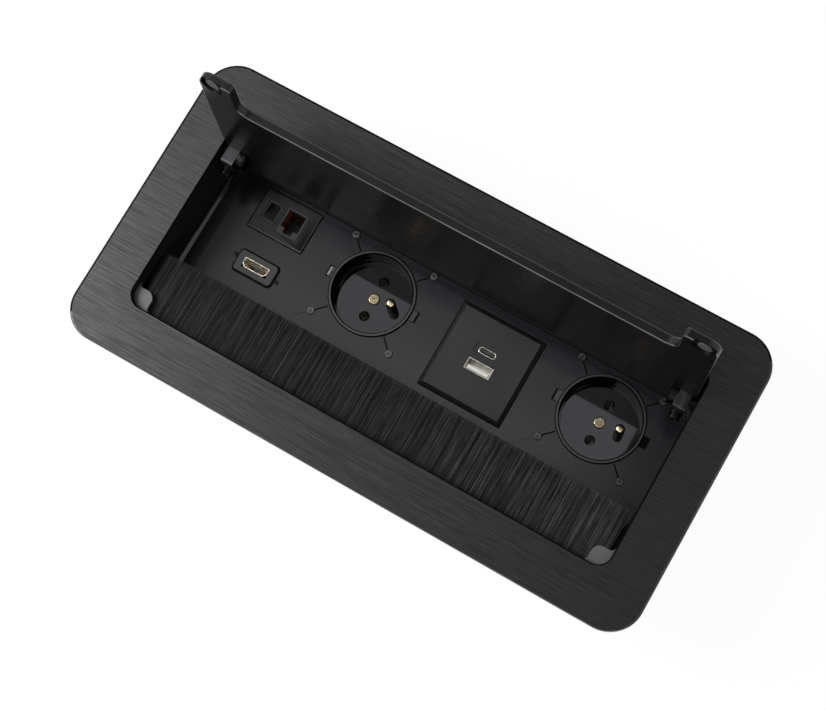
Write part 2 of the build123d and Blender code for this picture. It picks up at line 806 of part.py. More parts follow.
def charger_face():
    """The raised face of the charger: bevelled all round, with the two port holes and a lozenge recess."""
    plinth = block(charger_length, charger_width, plate_bottom, plate_top, charger_x, charger_y)
    base = Pos(charger_x, charger_y, plate_top) * Rectangle(charger_length, charger_width)
    top = Pos(charger_x, charger_y, charger_top) * Rectangle(charger_length - 2 * charger_bevel,
                                                             charger_width - 2 * charger_bevel)
    face = plinth + loft([base, top])
    hollow = 2 * (charger_wall + charger_seat)
    low = plate_top - charger_skin
    face -= block(charger_length - hollow, charger_width - hollow, plate_bottom - 1, low,
                  charger_x, charger_y)
    face -= block(port_hole_a[0], port_hole_a[1], low - 1, charger_top + 1, charger_x, type_a_y, port_corner)
    face -= block(port_hole_c[0], port_hole_c[1], low - 1, charger_top + 1, charger_x, type_c_y,
                  port_hole_c[1] / 2 - 0.01)
    lozenge = block(type_c_length + 2 * lozenge_margin, type_c_width + 2 * lozenge_margin,
                    charger_top - lozenge_sink, charger_top + 1, charger_x, type_c_y,
                    type_c_width / 2 + lozenge_margin - 0.01)
    half = charger_length / 2
    lozenge &= box(charger_x - half, charger_x + half, type_a_y + type_a_width / 2 + lozenge_cut,
                   type_c_y + half, plate_top, charger_top + 2)
    return face - lozenge


def charger_body():
    """The box under the charger's face, open at the top."""
    length = charger_length - 2 * charger_play
    width = charger_width - 2 * charger_play
    low = bus_top + charger_bus_gap
    body = block(length, width, low, plate_bottom, charger_x, charger_y)
    return body - block(length - 2 * charger_wall, width - 2 * charger_wall, low + charger_wall,
                        plate_bottom + 1, charger_x, charger_y)


def charger_board():
    """The circuit board inside the charger, on which both ports stand."""
    margin = 2 * (charger_play + charger_wall + board_play)
    length = charger_length - margin
    width = charger_width - margin
    board = block(length, width, board_top - board_thickness, board_top, charger_x, charger_y)
    low = board_top - board_thickness
    transformer = block(transformer_length, transformer_width, low - transformer_height, low,
                        charger_x - transformer_length / 2 - transformer_shift,
                        charger_y - transformer_width / 2 - transformer_shift)
    transformer = chamfer(transformer.edges().group_by(Axis.Z)[0], transformer_edge)
    capacitor = rod(capacitor_radius, low - capacitor_height, low,
                    charger_x + capacitor_radius + capacitor_shift,
                    charger_y - capacitor_radius - capacitor_shift)
    foot = bus_top + charger_bus_gap + charger_wall
    leg_x = length / 2 - board_leg_inset
    leg_y = width / 2 - board_leg_inset
    legs = Part()
    for sx in (-1, 1):
        for sy in (-1, 1):
            legs += rod(board_leg_radius, foot, low, charger_x + sx * leg_x, charger_y + sy * leg_y)
    return board + transformer + capacitor + legs


def type_a_shell():
    """The larger port's metal shell, standing on the board."""
    shell = block(type_a_length, type_a_width, board_top, charger_top, charger_x, type_a_y)
    inner = block(type_a_length - 2 * type_a_wall, type_a_width - 2 * type_a_wall, board_top + port_floor,
                  charger_top + 1, charger_x, type_a_y)
    return shell - inner


def type_a_tongue():
    """The larger port's tongue, in the half of the shell towards the front."""
    y = type_a_y - type_a_width / 2 + type_a_wall + tongue_a_gap + tongue_a_thickness / 2
    tongue = block(type_a_length - 2 * (type_a_wall + tongue_a_side_gap), tongue_a_thickness,
                   board_top + port_floor, charger_top - tongue_a_sink, charger_x, y)
    return chamfer(tongue.edges().group_by(Axis.Z)[-1], tongue_a_edge)


def type_c_shell():
    """The small rounded port's metal shell, standing on the board."""
    high = charger_top - lozenge_sink + type_c_proud
    shell = block(type_c_length, type_c_width, board_top, high, charger_x, type_c_y, type_c_width / 2 - 0.01)
    low = charger_top - lozenge_sink - type_c_depth
    inner = block(type_c_length - 2 * type_c_wall, type_c_width - 2 * type_c_wall, low, charger_top + 1,
                  charger_x, type_c_y, type_c_width / 2 - type_c_wall - 0.01)
    return shell - inner


def type_c_tongue():
    """The small port's centre tongue."""
    low = charger_top - lozenge_sink - type_c_depth
    high = charger_top - lozenge_sink - tongue_c_sink
    length = type_c_length - 2 * type_c_wall - 2 * tongue_c_side_gap
    return block(length, tongue_c_thickness, low, high, charger_x, type_c_y)


network_top = plate_top + network_rise


def network_plate():
    """The two-port plate: a flange on the faceplate and a collar through it."""
    plate = block(network_length, network_width, plate_top, network_top, data_x, network_y)
    plate = chamfer(plate.edges().group_by(Axis.Z)[-1], network_edge)
    inset = 2 * (network_lip + part_gap)
    low = plate_bottom - network_collar
    plate += block(network_length - inset, network_width - inset, low, plate_top, data_x, network_y)
    plate -= block(jack_length + part_gap, jack_width + part_gap, low - 1, network_top + 1,
                   data_x + jack_x, network_y + jack_y)
    return plate - block(blank_length + part_gap, blank_width + part_gap, low - 1, network_top + 1,
                         data_x + blank_x, network_y + blank_y)


def network_jack():
    """The network jack: a body with a stepped mouth, open at the top."""
    x = data_x + jack_x
    y = network_y + jack_y
    high = network_top - jack_sink
    low = plate_bottom - jack_depth
    body = block(jack_length, jack_width, low, high, x, y)
    body -= block(jack_length - 2 * jack_wall, jack_width - 2 * jack_wall - latch_width,
                  high - jack_cavity_depth, high + 1, x, y + latch_width / 2)
    front = y - jack_width / 2 + jack_wall
    return body - box(x - latch_length / 2, x + latch_length / 2, front, front + latch_width + overlap,
                      high - latch_depth, high + 1)


def jack_contacts():
    """Eight sprung wires that slope across the jack's mouth, each a solid of its own."""
    x = data_x + jack_x
    y = network_y + jack_y + jack_width / 2 - jack_wall
    high = network_top - jack_sink - wire_drop
    low = high - wire_rise
    back = y - wire_seat_gap
    side = make_face(Polyline([(back, high), (back - wire_run, low), (back - wire_run, low - wire_thickness),
                               (back, high - 2 * wire_thickness)], close=True))
    wires = []
    for i in range(wire_count):
        start = x + (i - (wire_count - 1) / 2) * wire_pitch - wire_width / 2
        wires.append(Pos(start, 0, 0) * extrude(Plane.YZ * side, wire_width))
    return Compound(children=wires)


def blank_insert():
    """The blank in the second port: a plug with a sloping thumb recess."""
    x = data_x + blank_x
    y = network_y + blank_y
    high = network_top - blank_sink
    low = plate_bottom - blank_depth
    body = block(blank_length, blank_width, low, high, x, y)
    deep_y = y + blank_width / 2 - blank_rim
    ramp = make_face(Polyline([(deep_y, high + 0.1), (deep_y, high - blank_recess),
                               (y - blank_width / 2 + 2 * blank_rim, high + 0.1)], close=True))
    start = x - blank_length / 2 + blank_rim
    return body - Pos(start, 0, 0) * extrude(Plane.YZ * ramp, blank_length - 2 * blank_rim)


video_top = plate_top + video_rise


def video_block():
    """The video port's body, with the mouth that its shell stands in."""
    body = block(video_length, video_width, plate_bottom - video_body_depth, video_top, data_x, video_y,
                 video_corner)
    body = chamfer(body.edges().group_by(Axis.Z)[-1], video_edge)
    return body - block(video_shell_length + 2 * video_shell_play, video_shell_width + 2 * video_shell_play,
                        video_top - video_shell_depth, video_top + 1, data_x, video_y, port_corner)


def video_outline(inset):
    """The port's outline: flat at the back, with the two front corners cut off."""
    x = video_shell_length / 2 - inset
    y = video_shell_width / 2 - inset
    cut_x = x - video_shell_cut
    cut_y = -y + video_shell_cut
    corners = [(-x, y), (x, y), (x, cut_y), (cut_x, -y), (-cut_x, -y), (-x, cut_y)]
    return make_face(Polyline(corners, close=True))


def video_shell():
    """The metal shell of the video port, a little proud of its block."""
    low = video_top - video_shell_depth
    shell = extrude(Pos(data_x, video_y, low) * video_outline(0), video_shell_depth + video_shell_proud)
    inner = Pos(data_x, video_y, low + video_shell_floor) * video_outline(video_shell_wall)
    return shell - extrude(inner, 2 * video_shell_depth)


def video_tongue():
    """The video port's tongue."""
    low = video_top - video_shell_depth + video_shell_floor
    length = video_shell_length - 2 * video_tongue_side_gap
    return block(length, video_tongue_thickness, low, video_top - video_tongue_sink, data_x,
                 video_y + video_tongue_shift)


def video_screws():
    """The two small screws beside the video port."""
    screws = []
    for side in (-1, 1):
        x = data_x + side * video_screw_x
        y = video_y + side * video_screw_shift
        screw = rod(video_screw_radius, plate_top, plate_top + video_screw_height, x, y)
        screws.append(screw + rod(video_shank_radius, plate_bottom, plate_top, x, y))
    return Compound(children=screws)


def base_cover():
    """The bottom cover, with screw holes and a window under the data ports for their leads."""
    length = opening_length - 2 * part_gap
    cover = block(length, lower_width - 2 * part_gap, base_z, cover_top, y=lower_y,
                  corner=opening_corner - part_gap)
    for x, y in corner_posts_at:
        cover -= rod(pilot_radius + hole_play, base_z - 1, cover_top + 1, x, y)
        cover -= rod(screw_head_radius + head_play, base_z - 1, base_z + cover_head_height, x, y)
    return cover - block(cover_window_length, cover_window_width, base_z - 1, cover_top + 1,
                         data_x, (network_y + video_y) / 2, cover_window_corner)


def head_up_screw(x, y, seat, length):
    """A screw that points up, its head under the seat level."""
    head = rod(screw_head_radius, seat - screw_head_height, seat, x, y)
    return head + rod(screw_radius, seat, seat + length, x, y)


def cover_screws():
    """The four screws of the bottom cover, with sunk flat heads."""
    seat = base_z + cover_head_height
    return Compound(children=[rod(screw_head_radius, base_z, seat, x, y)
                              + rod(screw_radius, seat, base_z + screw_length, x, y)
                              for x, y in corner_posts_at])


def faceplate_screws():
    """The four screws that hold the faceplate down from below the ledge."""
    seat = ledge_bottom - plate_screw_drop
    length = plate_top - plate_screw_skin - screw_end_gap - seat
    return Compound(children=[head_up_screw(x, y, seat, length) for x, y in corner_posts_at])


def bezel_screws():
    """The six screws that hold the housing's lugs to the bezel's bosses."""
    seat = -bezel_boss_depth - lug_thickness
    return Compound(children=[head_up_screw(x, y, seat, screw_length + 1) for x, y in bezel_screws_at])


def gland():
    """The bush in the back wall that the mains lead comes in through."""
    start = back_wall_y - gland_reach
    end = back_wall_y + wall
    bush = rod_y(gland_radius, start, end, gland_x, gland_z)
    bush += rod_y(gland_flange_radius, end, end + gland_flange, gland_x, gland_z)
    bush = fillet(bush.edges().group_by(Axis.Y)[-1], gland_round)
    return bush - rod_y(gland_bore, start - 1, end + gland_flange + 1, gland_x, gland_z)


def clamp():
    """The right-hand bracket that grips the desk from below, with a slot to suit its thickness."""
    x = outer_x
    leg = box(x, x + clamp_thickness, -clamp_width / 2, clamp_width / 2, -clamp_top - clamp_leg, -clamp_top)
    low = -clamp_top - clamp_thickness
    foot = box(x, x + clamp_reach, -clamp_width / 2, clamp_width / 2, low, -clamp_top)
    bracket = leg + foot
    inner = [e for e in bracket.edges().filter_by(Axis.Y) if abs(e.center().Z - low) < near]
    bend = [e for e in inner if abs(e.center().X - x - clamp_thickness) < near]
    bracket = fillet(bend, clamp_bend)
    slot = extrude(SlotOverall(clamp_slot, 2 * (clamp_screw_radius + head_play)), clamp_thickness, both=True)
    return bracket - Pos(x + clamp_thickness / 2, 0, -clamp_top - clamp_leg / 2) * Rot(0, 90, 0) * slot


def clamp_screw():
    """The right-hand thumb screw of the clamp, with a ribbed knob."""
    x = outer_x + clamp_thickness
    z = -clamp_top - clamp_leg / 2
    screw = rod_x(clamp_screw_radius, x, x + clamp_knob_length, 0, z)
    screw += rod_x(clamp_thread_radius, opening_x + screw_end_gap, x, 0, z)
    knob = rod_x(clamp_knob_radius, x, x + clamp_knob_length, 0, z)
    for i in range(clamp_knob_ribs):
        turn = 2 * pi * i / clamp_knob_ribs
        knob -= rod_x(clamp_knob_flute, x - 1, x + clamp_knob_length + 1, clamp_knob_radius * cos(turn),
                      z + clamp_knob_radius * sin(turn))
    return screw + knob


pieces["bezel_frame"] = bezel_frame()
pieces["housing"] = housing()
pieces["faceplate"] = faceplate()
pieces["base_cover"] = base_cover()
pieces["lid"] = opened(lid())
pieces["bristles"] = bristles()
pieces["brush_carrier"] = brush_carrier()
for name, shape in (("hinge_block", opened(hinge_block())), ("hinge_screw", opened(block_screw())),
                    ("hinge_washer", opened(block_washer())), ("hinge_pin", opened(hinge_pin())),
                    ("lid_pad", opened(lid_pad())), ("corner_tab", corner_tab()),
                    ("clamp", clamp()), ("clamp_screw", clamp_screw())):
    pieces[name + "_right"] = shape
    pieces[name + "_left"] = mirrored(shape)
for number, x in enumerate(socket_x, start=1):
    pieces[f"socket_{number}_cup"] = socket_cup(x)
    pieces[f"socket_{number}_carrier"] = socket_carrier(x)
    pieces[f"socket_{number}_live_sleeve"] = contact_sleeve(x, 1)
    pieces[f"socket_{number}_neutral_sleeve"] = contact_sleeve(x, -1)
    pieces[f"socket_{number}_earth_pin"] = earth_pin(x)
    pieces[f"socket_{number}_centre_screw"] = centre_screw(x)
    pieces[f"socket_{number}_screws"] = flange_screws(x)
bus_start = terminal_x + terminal_length / 2 - bus_entry
pieces["live_bus"] = bus(pin_spacing / 2, bus_start, socket_x[1] + bus_overrun)
pieces["neutral_bus"] = bus(-pin_spacing / 2, bus_start, socket_x[1] + bus_overrun)
pieces["earth_bus"] = bus(0, bus_start, socket_x[1] + earth_offset + bus_overrun - 1)
pieces["terminal_block"] = terminal_block()
pieces["charger_face"] = charger_face()
pieces["charger_body"] = charger_body()
pieces["charger_board"] = charger_board()
pieces["type_a_shell"] = type_a_shell()
pieces["type_a_tongue"] = type_a_tongue()
pieces["type_c_shell"] = type_c_shell()
pieces["type_c_tongue"] = type_c_tongue()
pieces["network_plate"] = network_plate()
pieces["network_jack"] = network_jack()
pieces["jack_contacts"] = jack_contacts()
pieces["blank_insert"] = blank_insert()
pieces["video_block"] = video_block()
pieces["video_shell"] = video_shell()
pieces["video_tongue"] = video_tongue()
pieces["video_screws"] = video_screws()
pieces["cover_screws"] = cover_screws()
pieces["faceplate_screws"] = faceplate_screws()
pieces["bezel_screws"] = bezel_screws()
pieces["cable_gland"] = gland()

os.makedirs("parts", exist_ok=True)
for name, shape in pieces.items():
    export_step(shape, f"parts/{name}.step")
print(len(pieces), "nodes")
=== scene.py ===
# %% [markdown]
# # A desk socket block with its lid open
#
# A power and data box that is let into a desk top: a brushed dark bezel, a thick lid that stands open
# at the back, a brush along the front for the leads, and a satin plate with two round sockets, a
# charger module, a network plate and a video port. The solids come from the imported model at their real
# size. This script gives each of them its finish, and makes the pieces that need a finer surface.

# %% Load the model
import json
import math

import bmesh
import bpy
import numpy as np
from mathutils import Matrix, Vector


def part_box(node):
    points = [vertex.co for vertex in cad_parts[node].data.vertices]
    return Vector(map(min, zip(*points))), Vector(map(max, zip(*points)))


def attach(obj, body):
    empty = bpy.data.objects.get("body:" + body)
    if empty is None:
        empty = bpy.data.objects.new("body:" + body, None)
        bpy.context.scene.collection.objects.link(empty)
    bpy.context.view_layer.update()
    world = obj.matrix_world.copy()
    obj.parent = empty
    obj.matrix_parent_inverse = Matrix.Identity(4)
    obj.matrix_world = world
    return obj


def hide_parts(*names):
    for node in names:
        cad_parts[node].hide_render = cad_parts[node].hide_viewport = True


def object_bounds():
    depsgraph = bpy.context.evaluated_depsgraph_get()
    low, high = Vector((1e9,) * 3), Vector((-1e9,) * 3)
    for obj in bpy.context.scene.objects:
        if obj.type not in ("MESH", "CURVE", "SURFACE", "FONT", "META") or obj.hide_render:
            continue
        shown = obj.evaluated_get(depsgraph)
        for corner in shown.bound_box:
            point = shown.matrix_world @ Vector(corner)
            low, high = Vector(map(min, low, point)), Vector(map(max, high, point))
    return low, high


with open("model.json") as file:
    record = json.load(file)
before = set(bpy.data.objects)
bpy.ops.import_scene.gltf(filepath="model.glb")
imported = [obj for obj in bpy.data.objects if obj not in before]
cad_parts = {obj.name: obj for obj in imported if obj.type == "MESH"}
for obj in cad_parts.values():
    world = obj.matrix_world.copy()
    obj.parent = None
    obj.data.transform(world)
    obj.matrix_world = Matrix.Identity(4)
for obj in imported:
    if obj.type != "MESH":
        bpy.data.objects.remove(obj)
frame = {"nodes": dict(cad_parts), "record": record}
nodes = frame["nodes"]
record = frame["record"]
cad_low, cad_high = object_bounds()
MM = 0.001
slot_of = {part["node"]: part["material_slot"] for part in record["subparts"]}
body_of = {node: body for body, members in record["behaviour"]["bodies"].items() for node in members}
print("nodes", len(nodes), "box in mm", [round(v / MM, 1) for v in (*cad_low, *cad_high)])

# %% Helpers for boxes and objects
def box_mm(node):
    """The low and the high corner of a node's box, in millimetres."""
    return tuple(np.array(corner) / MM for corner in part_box(node))


def new_object(name, data):
    """A new object at the origin, linked to the scene."""
    made = bpy.data.objects.new(name, data)
    bpy.context.scene.collection.objects.link(made)
    return made


def flat_sheet(name, x0, y0, x1, y1, height, faces_down=False):
    """A flat rectangle at a height, which faces up, or down like a card overhead."""
    corners = [(x0, y0, height), (x1, y0, height), (x1, y1, height), (x0, y1, height)]
    mesh = bpy.data.meshes.new(name)
    mesh.from_pydata(corners[::-1] if faces_down else corners, [], [(0, 1, 2, 3)])
    return new_object(name, mesh)


print("bezel's box in mm", [corner.round(1).tolist() for corner in box_mm("bezel_frame")])

# %% [markdown]
# ## The camera
#
# The photograph looks almost straight down on the block, which lies turned by thirty degrees in the
# picture. A camera could be aimed by hand, but every small error would shift the sockets against the
# bezel, so its place and angles were solved from the block's straight edges and the sockets' pin
# holes, and are written here as plain lengths and angles.

# %% Camera
CAMERA_PLACE = (122.4, -120.1, 713.7)
CAMERA_ANGLES = (12.367, 3.750, 30.042)
CAMERA_LENS = 71.11
SENSOR_WIDTH = 36.0
NEAREST_SEEN = 0.01
FARTHEST_SEEN = 20.0

camera_data = bpy.data.cameras.new("camera")
camera_data.lens = CAMERA_LENS
camera_data.sensor_width = SENSOR_WIDTH
camera_data.clip_start = NEAREST_SEEN
camera_data.clip_end = FARTHEST_SEEN
camera = new_object("camera", camera_data)
camera.location = [v * MM for v in CAMERA_PLACE]
camera.rotation_euler = [math.radians(v) for v in CAMERA_ANGLES]
bpy.context.scene.camera = camera
print("camera at", [round(v, 3) for v in camera.location])

# %% [markdown]
# ## Lamps
#
# The block was shot on white. A black part has hardly any colour of its own: the greys that show on it
# are the white room, mirrored at about four per cent, and they go black where it mirrors its own lid
# and walls. So two soft lamps are enough, both outside the mirror direction. The main one stands at
# the left, because the brushed metal spreads its light and gets brighter towards that side. A weaker
# one at the right front lights the edges that look there. A lamp overhead would be simpler, but it
# would show as a blot in the sockets' gloss.

# %% Lamps
LAMP_LEFT = {"place": (-0.88, -0.30, 1.0), "size": (0.45, 0.8), "power": 23.0}
LAMP_RIGHT_FRONT = {"place": (0.9, -1.2, 1.1), "size": (0.8, 0.8), "power": 5.0}


def area_lamp(name, place, size, power):
    """A soft rectangular lamp at a place in metres, turned to face the block."""
    data = bpy.data.lights.new(name, "AREA")
    data.shape = "RECTANGLE"
    data.size, data.size_y = size
    data.energy = power
    lamp = new_object(name, data)
    lamp.location = place
    lamp.rotation_euler = (-Vector(place)).to_track_quat("-Z", "Y").to_euler()


area_lamp("lamp_left", **LAMP_LEFT)
area_lamp("lamp_right_front", **LAMP_RIGHT_FRONT)
print("lamps", LAMP_LEFT["power"], LAMP_RIGHT_FRONT["power"], "watt")

# %% [markdown]
# ## The room and the floor
#
# Matt pieces should render about as light as their colour is written, so the room gives them half of
# their light and the lamps the rest. What the camera and a mirrored ray meet is full white. A brighter
# room would whiten the background too, but it would also wash out the block. The floor follows the
# same rule: it glows white to the camera, and keeps a small share of its own shading, which is where
# the block's soft shadow shows.

# %% World
WHITE = (1.0, 1.0, 1.0, 1.0)
ROOM_LIGHT = 0.5


def seen_directly(tree):
    """1 where a ray comes from the camera, a mirror or a clear piece, else 0."""
    path = tree.nodes.new("ShaderNodeLightPath")
    total = None
    for kind in ("Is Camera Ray", "Is Glossy Ray", "Is Transmission Ray"):
        if total is None:
            total = path.outputs[kind]
            continue
        either = tree.nodes.new("ShaderNodeMath")
        either.operation = "MAXIMUM"
        tree.links.new(total, either.inputs[0])
        tree.links.new(path.outputs[kind], either.inputs[1])
        total = either.outputs[0]
    return total


world = bpy.data.worlds.new("studio")
world.use_nodes = True
bpy.context.scene.world = world
room = world.node_tree
room_light = room.nodes["Background"]
room_light.inputs["Color"].default_value = WHITE
room_light.inputs["Strength"].default_value = ROOM_LIGHT
room_white = room.nodes.new("ShaderNodeBackground")
room_white.inputs["Color"].default_value = WHITE
room_white.inputs["Strength"].default_value = 1.0
room_mix = room.nodes.new("ShaderNodeMixShader")
room.links.new(seen_directly(room), room_mix.inputs[0])
room.links.new(room_light.outputs[0], room_mix.inputs[1])
room.links.new(room_white.outputs[0], room_mix.inputs[2])
room.links.new(room_mix.outputs[0], room.nodes["World Output"].inputs["Surface"])
bpy.context.scene.view_settings.view_transform = "Standard"
print("room lights matt surfaces at", ROOM_LIGHT)

# %% Floor
FLOOR_LEVEL = cad_low[2]
FLOOR_HALF = 3.0
FLOOR_GREY = (0.9, 0.9, 0.9, 1.0)
FLOOR_GLOW_SHARE = 0.95
MATT = 0.9

floor = flat_sheet("floor", -FLOOR_HALF, -FLOOR_HALF, FLOOR_HALF, FLOOR_HALF, FLOOR_LEVEL)

floor_look = bpy.data.materials.new("floor_white")
floor_look.use_nodes = True
floor_tree = floor_look.node_tree
floor_paint = floor_tree.nodes["Principled BSDF"]
floor_paint.inputs["Base Color"].default_value = FLOOR_GREY
floor_paint.inputs["Roughness"].default_value = MATT
floor_glow = floor_tree.nodes.new("ShaderNodeEmission")
floor_glow.inputs["Strength"].default_value = 1.0
floor_share = floor_tree.nodes.new("ShaderNodeMath")
floor_share.operation = "MULTIPLY"
floor_share.inputs[1].default_value = FLOOR_GLOW_SHARE
floor_mix = floor_tree.nodes.new("ShaderNodeMixShader")
floor_tree.links.new(seen_directly(floor_tree), floor_share.inputs[0])
floor_tree.links.new(floor_share.outputs[0], floor_mix.inputs[0])
floor_tree.links.new(floor_paint.outputs[0], floor_mix.inputs[1])
floor_tree.links.new(floor_glow.outputs[0], floor_mix.inputs[2])
floor_tree.links.new(floor_mix.outputs[0], floor_tree.nodes["Material Output"].inputs["Surface"])
floor.data.materials.append(floor_look)
print("floor at", round(FLOOR_LEVEL / MM, 1), "mm")

# %% [markdown]
# ## Dark cards
#
# Gloss shows what it mirrors. In the photograph the ends and the back of the well mirror something
# dark beyond the white, and look deep because of it. Darker plastic would not give that, because its
# colour adds hardly anything to the mirror image. A photographer sets it with black cards, and so does
# this scene: three of them, met only by mirrored rays, so they take no light away and no camera sees
# them. Each is no larger than it must be, because from other sides the gloss should keep its white.

# %% Dark cards
CARD_HEIGHT = 0.9
CARD_FAR_LEFT = -0.58
CARD_LEFT = -0.385
CARD_RIGHT = 0.085
CARD_FAR_RIGHT = 0.36
CARD_FRONT = -0.35
CARD_BACK = 0.198
CARD_FAR_BACK = 0.50
CARD_BLACK = (0.01, 0.01, 0.01, 1.0)
CARDS = {
    "back_card": (CARD_FAR_LEFT, CARD_BACK, CARD_FAR_RIGHT, CARD_FAR_BACK),
    "right_card": (CARD_RIGHT, CARD_FRONT, CARD_FAR_RIGHT, CARD_BACK),
    "left_card": (CARD_FAR_LEFT, CARD_FRONT, CARD_LEFT, CARD_BACK),
}
card_look = bpy.data.materials.new("card_black")
card_look.use_nodes = True
card_paint = card_look.node_tree.nodes["Principled BSDF"]
card_paint.inputs["Base Color"].default_value = CARD_BLACK
card_paint.inputs["Roughness"].default_value = MATT
for name, sides in CARDS.items():
    card = flat_sheet(name, *sides, CARD_HEIGHT, faces_down=True)
    card.data.materials.append(card_look)
    card.visible_camera = False
    card.visible_diffuse = False
    card.visible_shadow = False
print("cards", list(CARDS))

# %% [markdown]
# ## How a finish is made
#
# Every finish is one Principled shader with patterns on Object coordinates, in cells per metre. A
# picture of the surface would be quicker, but it would blur up close and tie the part to a file. With
# Object coordinates a streak runs on from the bezel to the lid, because all pieces share one frame.

# %% Helpers for finishes
NOISE_LOW = 0.3
NOISE_HIGH = 0.7
looks = {}


def finish(name, colour, roughness, metallic=0.0):
    """A new finish: one shader with its colour, roughness and metal share. Gives its tree and shader."""
    look = bpy.data.materials.new(name)
    look.use_nodes = True
    shader = look.node_tree.nodes["Principled BSDF"]
    shader.inputs["Base Color"].default_value = (*colour, 1.0)
    shader.inputs["Roughness"].default_value = roughness
    shader.inputs["Metallic"].default_value = metallic
    looks[name] = look
    return look.node_tree, shader


def noise(tree, cells, detail=2.0):
    """Noise on Object coordinates with its own count of cells per metre along X, Y and Z."""
    place = tree.nodes.new("ShaderNodeTexCoord")
    stretch = tree.nodes.new("ShaderNodeMapping")
    stretch.inputs["Scale"].default_value = cells
    pattern = tree.nodes.new("ShaderNodeTexNoise")
    pattern.inputs["Scale"].default_value = 1.0
    pattern.inputs["Detail"].default_value = detail
    tree.links.new(place.outputs["Object"], stretch.inputs["Vector"])
    tree.links.new(stretch.outputs["Vector"], pattern.inputs["Vector"])
    return pattern.outputs["Fac"]


def combine(tree, operation, first, second):
    """One value from two, each a socket or a plain number."""
    node = tree.nodes.new("ShaderNodeMath")
    node.operation = operation
    for socket, value in zip(node.inputs, (first, second)):
        if isinstance(value, (int, float)):
            socket.default_value = value
        else:
            tree.links.new(value, socket)
    return node.outputs[0]


def spread(tree, value, low, high, start=NOISE_LOW, end=NOISE_HIGH):
    """Carries a value from the range start to end, that of most noise, over to the range low to high."""
    node = tree.nodes.new("ShaderNodeMapRange")
    tree.links.new(value, node.inputs["Value"])
    node.inputs["From Min"].default_value = start
    node.inputs["From Max"].default_value = end
    node.inputs["To Min"].default_value = low
    node.inputs["To Max"].default_value = high
    return node.outputs["Result"]


def tint(tree, shader, value, dark, light):
    """Colours the shader between two colours by a value from 0 to 1.

    The Mix node's inputs 6 and 7 are its two colours, and its output 2 is the colour between them."""
    mix = tree.nodes.new("ShaderNodeMix")
    mix.data_type = "RGBA"
    mix.inputs[6].default_value = (*dark, 1.0)
    mix.inputs[7].default_value = (*light, 1.0)
    tree.links.new(value, mix.inputs[0])
    tree.links.new(mix.outputs[2], shader.inputs["Base Color"])


def roughen(tree, shader, value, low, high):
    """Lets the roughness wander between two values."""
    tree.links.new(spread(tree, value, low, high), shader.inputs["Roughness"])


def bump(tree, shader, value, depth):
    """Raises the surface by a value, up to a depth in metres."""
    node = tree.nodes.new("ShaderNodeBump")
    node.inputs["Strength"].default_value = 1.0
    node.inputs["Distance"].default_value = depth
    tree.links.new(value, node.inputs["Height"])
    tree.links.new(node.outputs["Normal"], shader.inputs["Normal"])


print("finish helpers ready")

# %% [markdown]
# ## Brushed dark metal
#
# The bezel and the lid's outside are dark anodised plate with long fine scratches along X. Grooves
# along X throw light across them, so the shine is stretched along Y: that is an anisotropic shader.
# Two noises, long and narrow, give fine streaks and finer hairlines of slightly different grey.

# %% Brushed plate
BRUSH_LONG = (30.0, 1600.0, 1600.0)
BRUSH_FINE = (90.0, 3000.0, 3000.0)
BRUSH_DEPTH = 0.00008
FINE_DETAIL = 3.0
STREAK_LOW = 0.36
STREAK_HIGH = 0.64
QUARTER_TURN = 0.25


def brushed(name, dark, light, rough_low, rough_high, stretch):
    """Brushed metal with streaks along X between two greys, by the mean of a long and a fine noise."""
    tree, shader = finish(name, light, rough_high, 1.0)
    streaks = combine(tree, "ADD", noise(tree, BRUSH_LONG), noise(tree, BRUSH_FINE, FINE_DETAIL))
    streaks = combine(tree, "MULTIPLY", streaks, 0.5)
    tint(tree, shader, spread(tree, streaks, 0.0, 1.0, STREAK_LOW, STREAK_HIGH), dark, light)
    roughen(tree, shader, streaks, rough_high, rough_low)
    shader.inputs["Anisotropic"].default_value = stretch
    shader.inputs["Anisotropic Rotation"].default_value = QUARTER_TURN
    along = tree.nodes.new("ShaderNodeCombineXYZ")
    along.inputs["X"].default_value = 1.0
    tree.links.new(along.outputs[0], shader.inputs["Tangent"])
    bump(tree, shader, streaks, BRUSH_DEPTH)


brushed("brushed_plate", (0.0240, 0.0243, 0.0249), (0.0540, 0.0546, 0.0558), 0.34, 0.50, 0.5)
brushed("lid_band", (0.024, 0.024, 0.025), (0.040, 0.040, 0.041), 0.28, 0.36, 0.3)
print("brushed plate", BRUSH_LONG, "and", BRUSH_FINE, "cells per metre")

# %% [markdown]
# ## The plates' cut edges
#
# The chamfers are cut after brushing, so they have no streaks. On the bezel the cut's light and shade
# are painted in by the side it faces: a painted highlight along the front, where it catches the light,
# a softer painted light on the right, and painted shade elsewhere. The painted shade is a matt black,
# made with the mouldings below, because even black metal turns pale where it is seen at a low angle.
# edge_line is for the fine cut round the lid's lining.

# %% Cut edges
EDGE_CELLS = (60.0, 60.0, 1500.0)
# The first two are painted light on the bezel's cut: a highlight in front, a softer one at the right.
CUT_EDGES = {
    "edge_pale": (0.16, 0.28, 0.34),
    "edge_soft": (0.045, 0.075, 0.35),
    "edge_line": (0.09, 0.19, 0.28),
}
for name, (dark, light, roughness) in CUT_EDGES.items():
    tree, shader = finish(name, (light, light, light), roughness, 1.0)
    wander = noise(tree, EDGE_CELLS)
    tint(tree, shader, spread(tree, wander, 0.0, 1.0), (dark, dark, dark), (light, light, light))
print("cut edges", list(CUT_EDGES))
